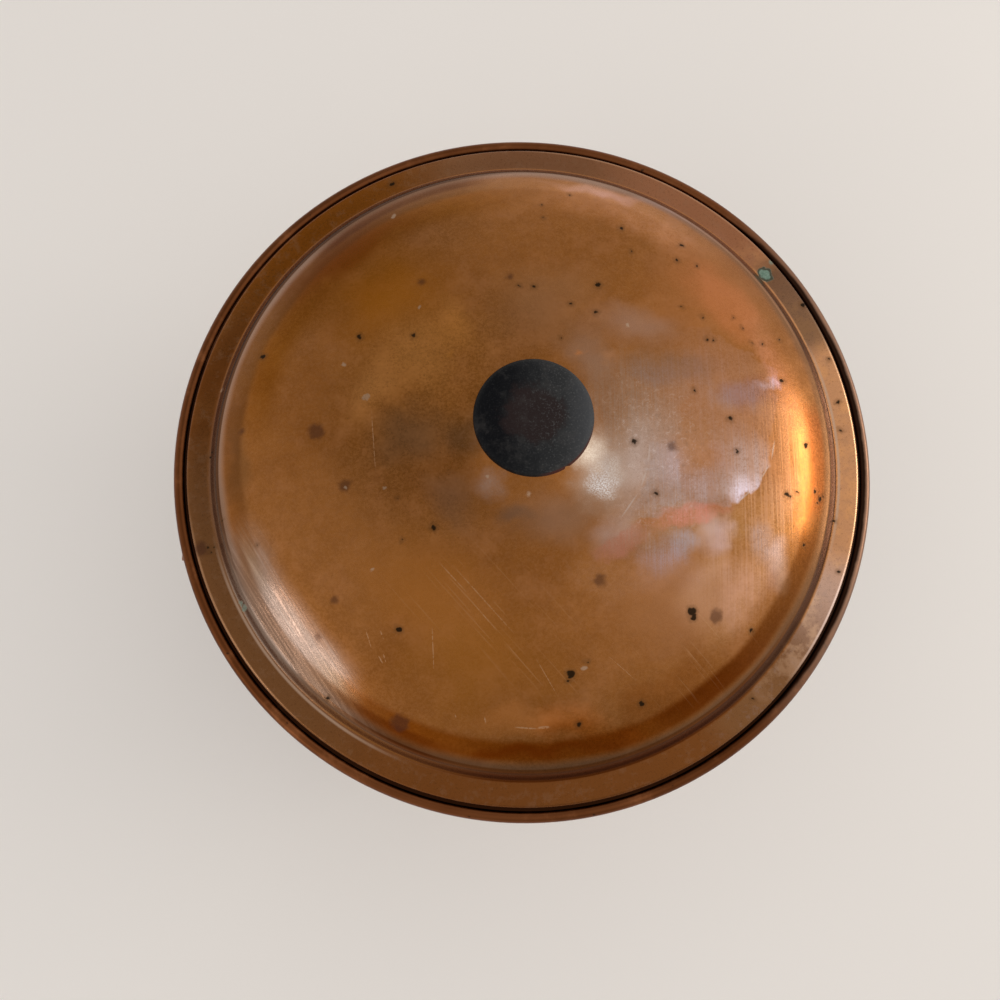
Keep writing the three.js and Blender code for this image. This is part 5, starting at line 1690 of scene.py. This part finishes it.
tube_section = [(TUBE_INNER, 42.6), (TUBE_OUTER, 42.6)]
for collar_low in (50.9, 63.2):
    collar_high = collar_low + 1.5
    tube_section += [(TUBE_OUTER, collar_low), (COLLAR, collar_low), (COLLAR, collar_high),
                     (TUBE_OUTER, collar_high)]
tube_section += [(TUBE_OUTER, 68.9), (TUBE_INNER, 68.9)]
burner = with_air_holes(lathe("burner_tube_drawn", softened(tube_section, 0.35, 3), TURNED_SIDES))
settle(burner, "lamp", "lamp_brass", lamp_brass, "burner_tube")
sleeve_section = eased_box(16.6, 17.9, 52.7, 62.9, 0.3)
sleeve = with_air_holes(lathe("regulator_sleeve_drawn", sleeve_section, TURNED_SIDES))
settle(sleeve, "regulator", "lamp_brass", lamp_brass, "regulator_sleeve")

lever_path = [(x, 0, HOLES_HEIGHT) for x in (18.2, 20, 51.6, 52)]
lever = tube("regulator_lever_drawn", lever_path, [1.6, 1.6, 1.6, 1.3], 24)
settle(placed(lever, LEVER_TURN), "regulator", "lamp_brass", lamp_brass, "regulator_lever")
BALL = 5.5
BALL_OUT = 57.8
ball = lathe("regulator_grip_turned", [(0, -BALL), *arc((0, 0), BALL, -89, 89, 28), (0, BALL)], SMALL_SIDES)
ball = placed(placed(ball, lean=(90, "Y")), LEVER_TURN, (BALL_OUT, 0, HOLES_HEIGHT))
settle(ball, "regulator", "ebonised_wood", grip_wood, "regulator_grip")


# %% Snuffer
def eased_block(name, outline, low, high, ease=0.4):
    """A plate along X whose outline is in Y and Z, with its long edges eased."""
    flat = np.array(outline, float)
    away = flat - flat.mean(0)
    size = np.linalg.norm(away, axis=1)[:, None]
    rings = []
    for x, inset in ((low, ease), (low + ease * 0.3, ease * 0.3), (low + ease, 0), (high - ease, 0),
                     (high - ease * 0.3, ease * 0.3), (high, ease)):
        rings.append([(x, y, z) for y, z in flat.mean(0) + away * (1 - inset / size)])
    return sweep(name, rings, 40)


HINGE = (0, 24.5, 66.5)
KNUCKLE_HALF = 3.1
cap_section = [(16.9, 65.2), (17.2, 65), (17.8, 65), (18.1, 65.3), (18.1, 73), (17.6, 74.1)]
cap_section += [(15.6, 75.1), (12, 75.5), (7.2, 75.95), (3.4, 76), (0, 76)]
cap_section += [(0, 74.8), (8, 74.6), (13.5, 73.9), (16.2, 72.6), (16.9, 71.6)]
shell = lathe("shell", cap_section, TURNED_SIDES)
cap_arm = eased_block("arm", eased_box(17.3, HINGE[1], 65, 68, 0.3), -KNUCKLE_HALF, KNUCKLE_HALF)
knuckle = lathe("knuckle", eased_box(1.5, 3, -KNUCKLE_HALF, KNUCKLE_HALF, 0.3), SMALL_SIDES)
knuckle = placed(knuckle, shift=HINGE, lean=(90, "Y"))
snuffer = joined("snuffer_cap_formed", [shell, cap_arm, knuckle])
settle(snuffer, "snuffer", "lamp_brass", lamp_brass, "snuffer_cap")

knob_line = [(1.7, 76.3), (1.53, 77.66), (3.23, 79.36), (3.4, 80.72), (2.38, 82.42), (0.3, 83.1)]
small_outline = [(0, 76.3), *smooth_line(knob_line, 24), (0, 83.1)]
small_knob = lathe("snuffer_knob_turned", small_outline, SMALL_SIDES)
settle(small_knob, "snuffer", "lamp_brass", lamp_brass, "snuffer_knob")

BRACKET_IN = 19.3
BRACKET_OUT = 27.5
BRACKET_LOW = 60.2
ear_outline = [(BRACKET_IN, BRACKET_LOW), (BRACKET_OUT, BRACKET_LOW), *arc(HINGE[1:], 3, 0, 90, 6),
               (BRACKET_IN, 69.5)]
ear_outline = softened(ear_outline, 0.3, 2)
ears = [eased_block("ear", ear_outline, side - 1, side + 1) for side in (-4.4, 4.4)]
web = eased_box(BRACKET_IN, BRACKET_OUT, BRACKET_LOW, BRACKET_LOW + 3, 0.3)
snuffer_bracket = joined("snuffer_bracket_formed", [*ears, eased_block("web", web, -4.2, 4.2)])
settle(snuffer_bracket, "lamp", "lamp_brass", lamp_brass, "snuffer_bracket")

# %% Filler cap
cap_profile = [(0, 58.4), (6.3, 58.4), (6.3, 52.1), (7.9, 52.1), (7.9, 59.2), (7.1, 60), (0, 60)]
cap_turned = lathe("filler_cap_turned", softened(cap_profile, 0.3), SMALL_SIDES * 2)
cap_turned = placed(cap_turned, shift=(NECK_ASIDE, 0, 0))
settle(cap_turned, "filler_cap", "lamp_brass", lamp_brass, "filler_cap")

# %% [markdown]
# ## Knurl and gauze
# The filler cap is knurled so that oily fingers can pull it, and a gauze keeps the wick in its tube.
# Both could be painted by a bump, but a bump is flat in the outline and in the mesh that is kept.
# Both are one small shape repeated by a rule, a rib or a wire, so Geometry Nodes make them.

# %% Knurling of the filler cap
knurl_sizes = {"ribs": 40, "cap radius": 7.9 * MM, "rib radius": 0.36 * MM, "rib length": 5.8 * MM}
knurling = Growth("knurling", **knurl_sizes)
circle_sizes = {"Vertices": knurling.size("ribs"), "Radius": knurling.size("cap radius")}
circle = knurling.add("GeometryNodeMeshCircle", circle_sizes)
rib_sizes = {"Vertices": 8, "Radius": knurling.size("rib radius"), "Depth": knurling.size("rib length")}
rib = knurling.add("GeometryNodeMeshCylinder", rib_sizes)
ribs = knurling.add("GeometryNodeInstanceOnPoints", {"Points": circle, "Instance": rib})
cap_middle = (NECK_ASIDE * MM, 0, 55.8 * MM)
round_cap = {"Geometry": ribs, "Translation": cap_middle}
knurling.finish(knurling.add("GeometryNodeTransform", round_cap), lamp_brass)


def grown_from_nothing(name, growth):
    """A piece whose tree makes all of its shape."""
    piece = bpy.data.objects.new(name, bpy.data.meshes.new(name))
    scene.collection.objects.link(piece)
    return grow(piece, growth)


settle(grown_from_nothing("filler_cap_knurl", knurling), "filler_cap", "lamp_brass", lamp_brass)

# %% Strands of the gauze
WIRES = 23
GAUZE_HEIGHT = 67.8
gauze_sizes = {"gauze radius": 14.4 * MM, "pitch": 1.3 * MM, "wire radius": 0.17 * MM, "wave": 0.13 * MM}
weave = Growth("woven_gauze", **gauze_sizes)
gauze_radius = weave.size("gauze radius")
pitch = weave.size("pitch")
half = weave.times(pitch, (WIRES - 1) / 2)
first = weave.add("CombineXYZ", {1: weave.times(half, -1.0)})
step_aside = weave.add("CombineXYZ", {1: pitch})
line_of_starts = {"Count": WIRES, "Start Location": first, "Offset": step_aside}
starts = weave.add("GeometryNodeMeshLine", line_of_starts)
reach_out = weave.add("CombineXYZ", {0: gauze_radius})
reach_back = weave.add("CombineXYZ", {0: weave.times(gauze_radius, -1.0)})
strand = weave.add("GeometryNodeCurvePrimitiveLine", {"Start": reach_back, "End": reach_out})
strand = weave.add("GeometryNodeResampleCurve", {"Curve": strand, "Count": WIRES * 4 + 1})
position = weave.add("GeometryNodeInputPosition")
aside = weave.add("SeparateXYZ", {0: position}, "Y")
ratio = weave.over(aside, gauze_radius)
chord = weave.math("SQRT", weave.minus(1.0, weave.times(ratio, ratio), clamp=True))
shorter = weave.add("CombineXYZ", {0: chord, 1: 1.0, 2: 1.0})
laid_out = {"Points": starts, "Instance": strand, "Scale": shorter}
strands = weave.add("GeometryNodeInstanceOnPoints", laid_out)
strands = weave.add("GeometryNodeRealizeInstances", {0: strands})
print("wires each way:", WIRES)

# %% Weaving the strands
waves = []
for axis in "XY":
    along = weave.over(weave.add("SeparateXYZ", {0: position}, axis), pitch)
    waves.append(weave.math("COSINE", weave.times(along, math.pi)))
ripple = weave.times(weave.times(waves[0], waves[1]), weave.size("wave"))
up = weave.add("CombineXYZ", {2: ripple})
waved = weave.add("GeometryNodeSetPosition", {"Geometry": strands, "Offset": up})


def ring_line(radius, points):
    """A circle of the gauze's tree, as a wire's section or as the rim."""
    return weave.add("GeometryNodeCurvePrimitiveCircle", {"Resolution": points, "Radius": radius})


wire_section = ring_line(weave.size("wire radius"), 5)
wire_sockets = {"Curve": waved, "Profile Curve": wire_section, "Fill Caps": True}
wires = weave.add("GeometryNodeCurveToMesh", wire_sockets)
quarter_turn = (math.pi, 0, math.pi / 2)
crossing = weave.add("GeometryNodeTransform", {"Geometry": wires, "Rotation": quarter_turn})
rim_sockets = {"Curve": ring_line(gauze_radius, 72), "Profile Curve": ring_line(0.3 * MM, 8)}
rim = weave.add("GeometryNodeCurveToMesh", rim_sockets)
together = weave.tree.nodes.new("GeometryNodeJoinGeometry")
for part in (wires, crossing, rim):
    weave.tree.links.new(part, together.inputs[0])
over_wick = {"Geometry": together.outputs[0], "Translation": (0, 0, GAUZE_HEIGHT * MM)}
weave.finish(weave.add("GeometryNodeTransform", over_wick), lamp_brass)
settle(grown_from_nothing("wick_gauze_woven", weave), "lamp", "lamp_brass", lamp_brass, "wick_gauze")

# %% [markdown]
# ## The last solids and the sizes
# Four solids of the frame are right as they are: the cotton, the wick, the cork washer and the hinge
# pin. They keep their shapes and get their finishes. Then the size of the dressed dish is printed.

# %% Solids that keep their shape
keep_solid("fuel_packing", cotton)
keep_solid("wick", cotton)
keep_solid("filler_gasket", cork)
keep_solid("snuffer_pin", dull_steel)

# %% Sizes and finish
low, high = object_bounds()
print("dressed size in mm:", [round((b - a) / MM, 1) for a, b in zip(low, high)])
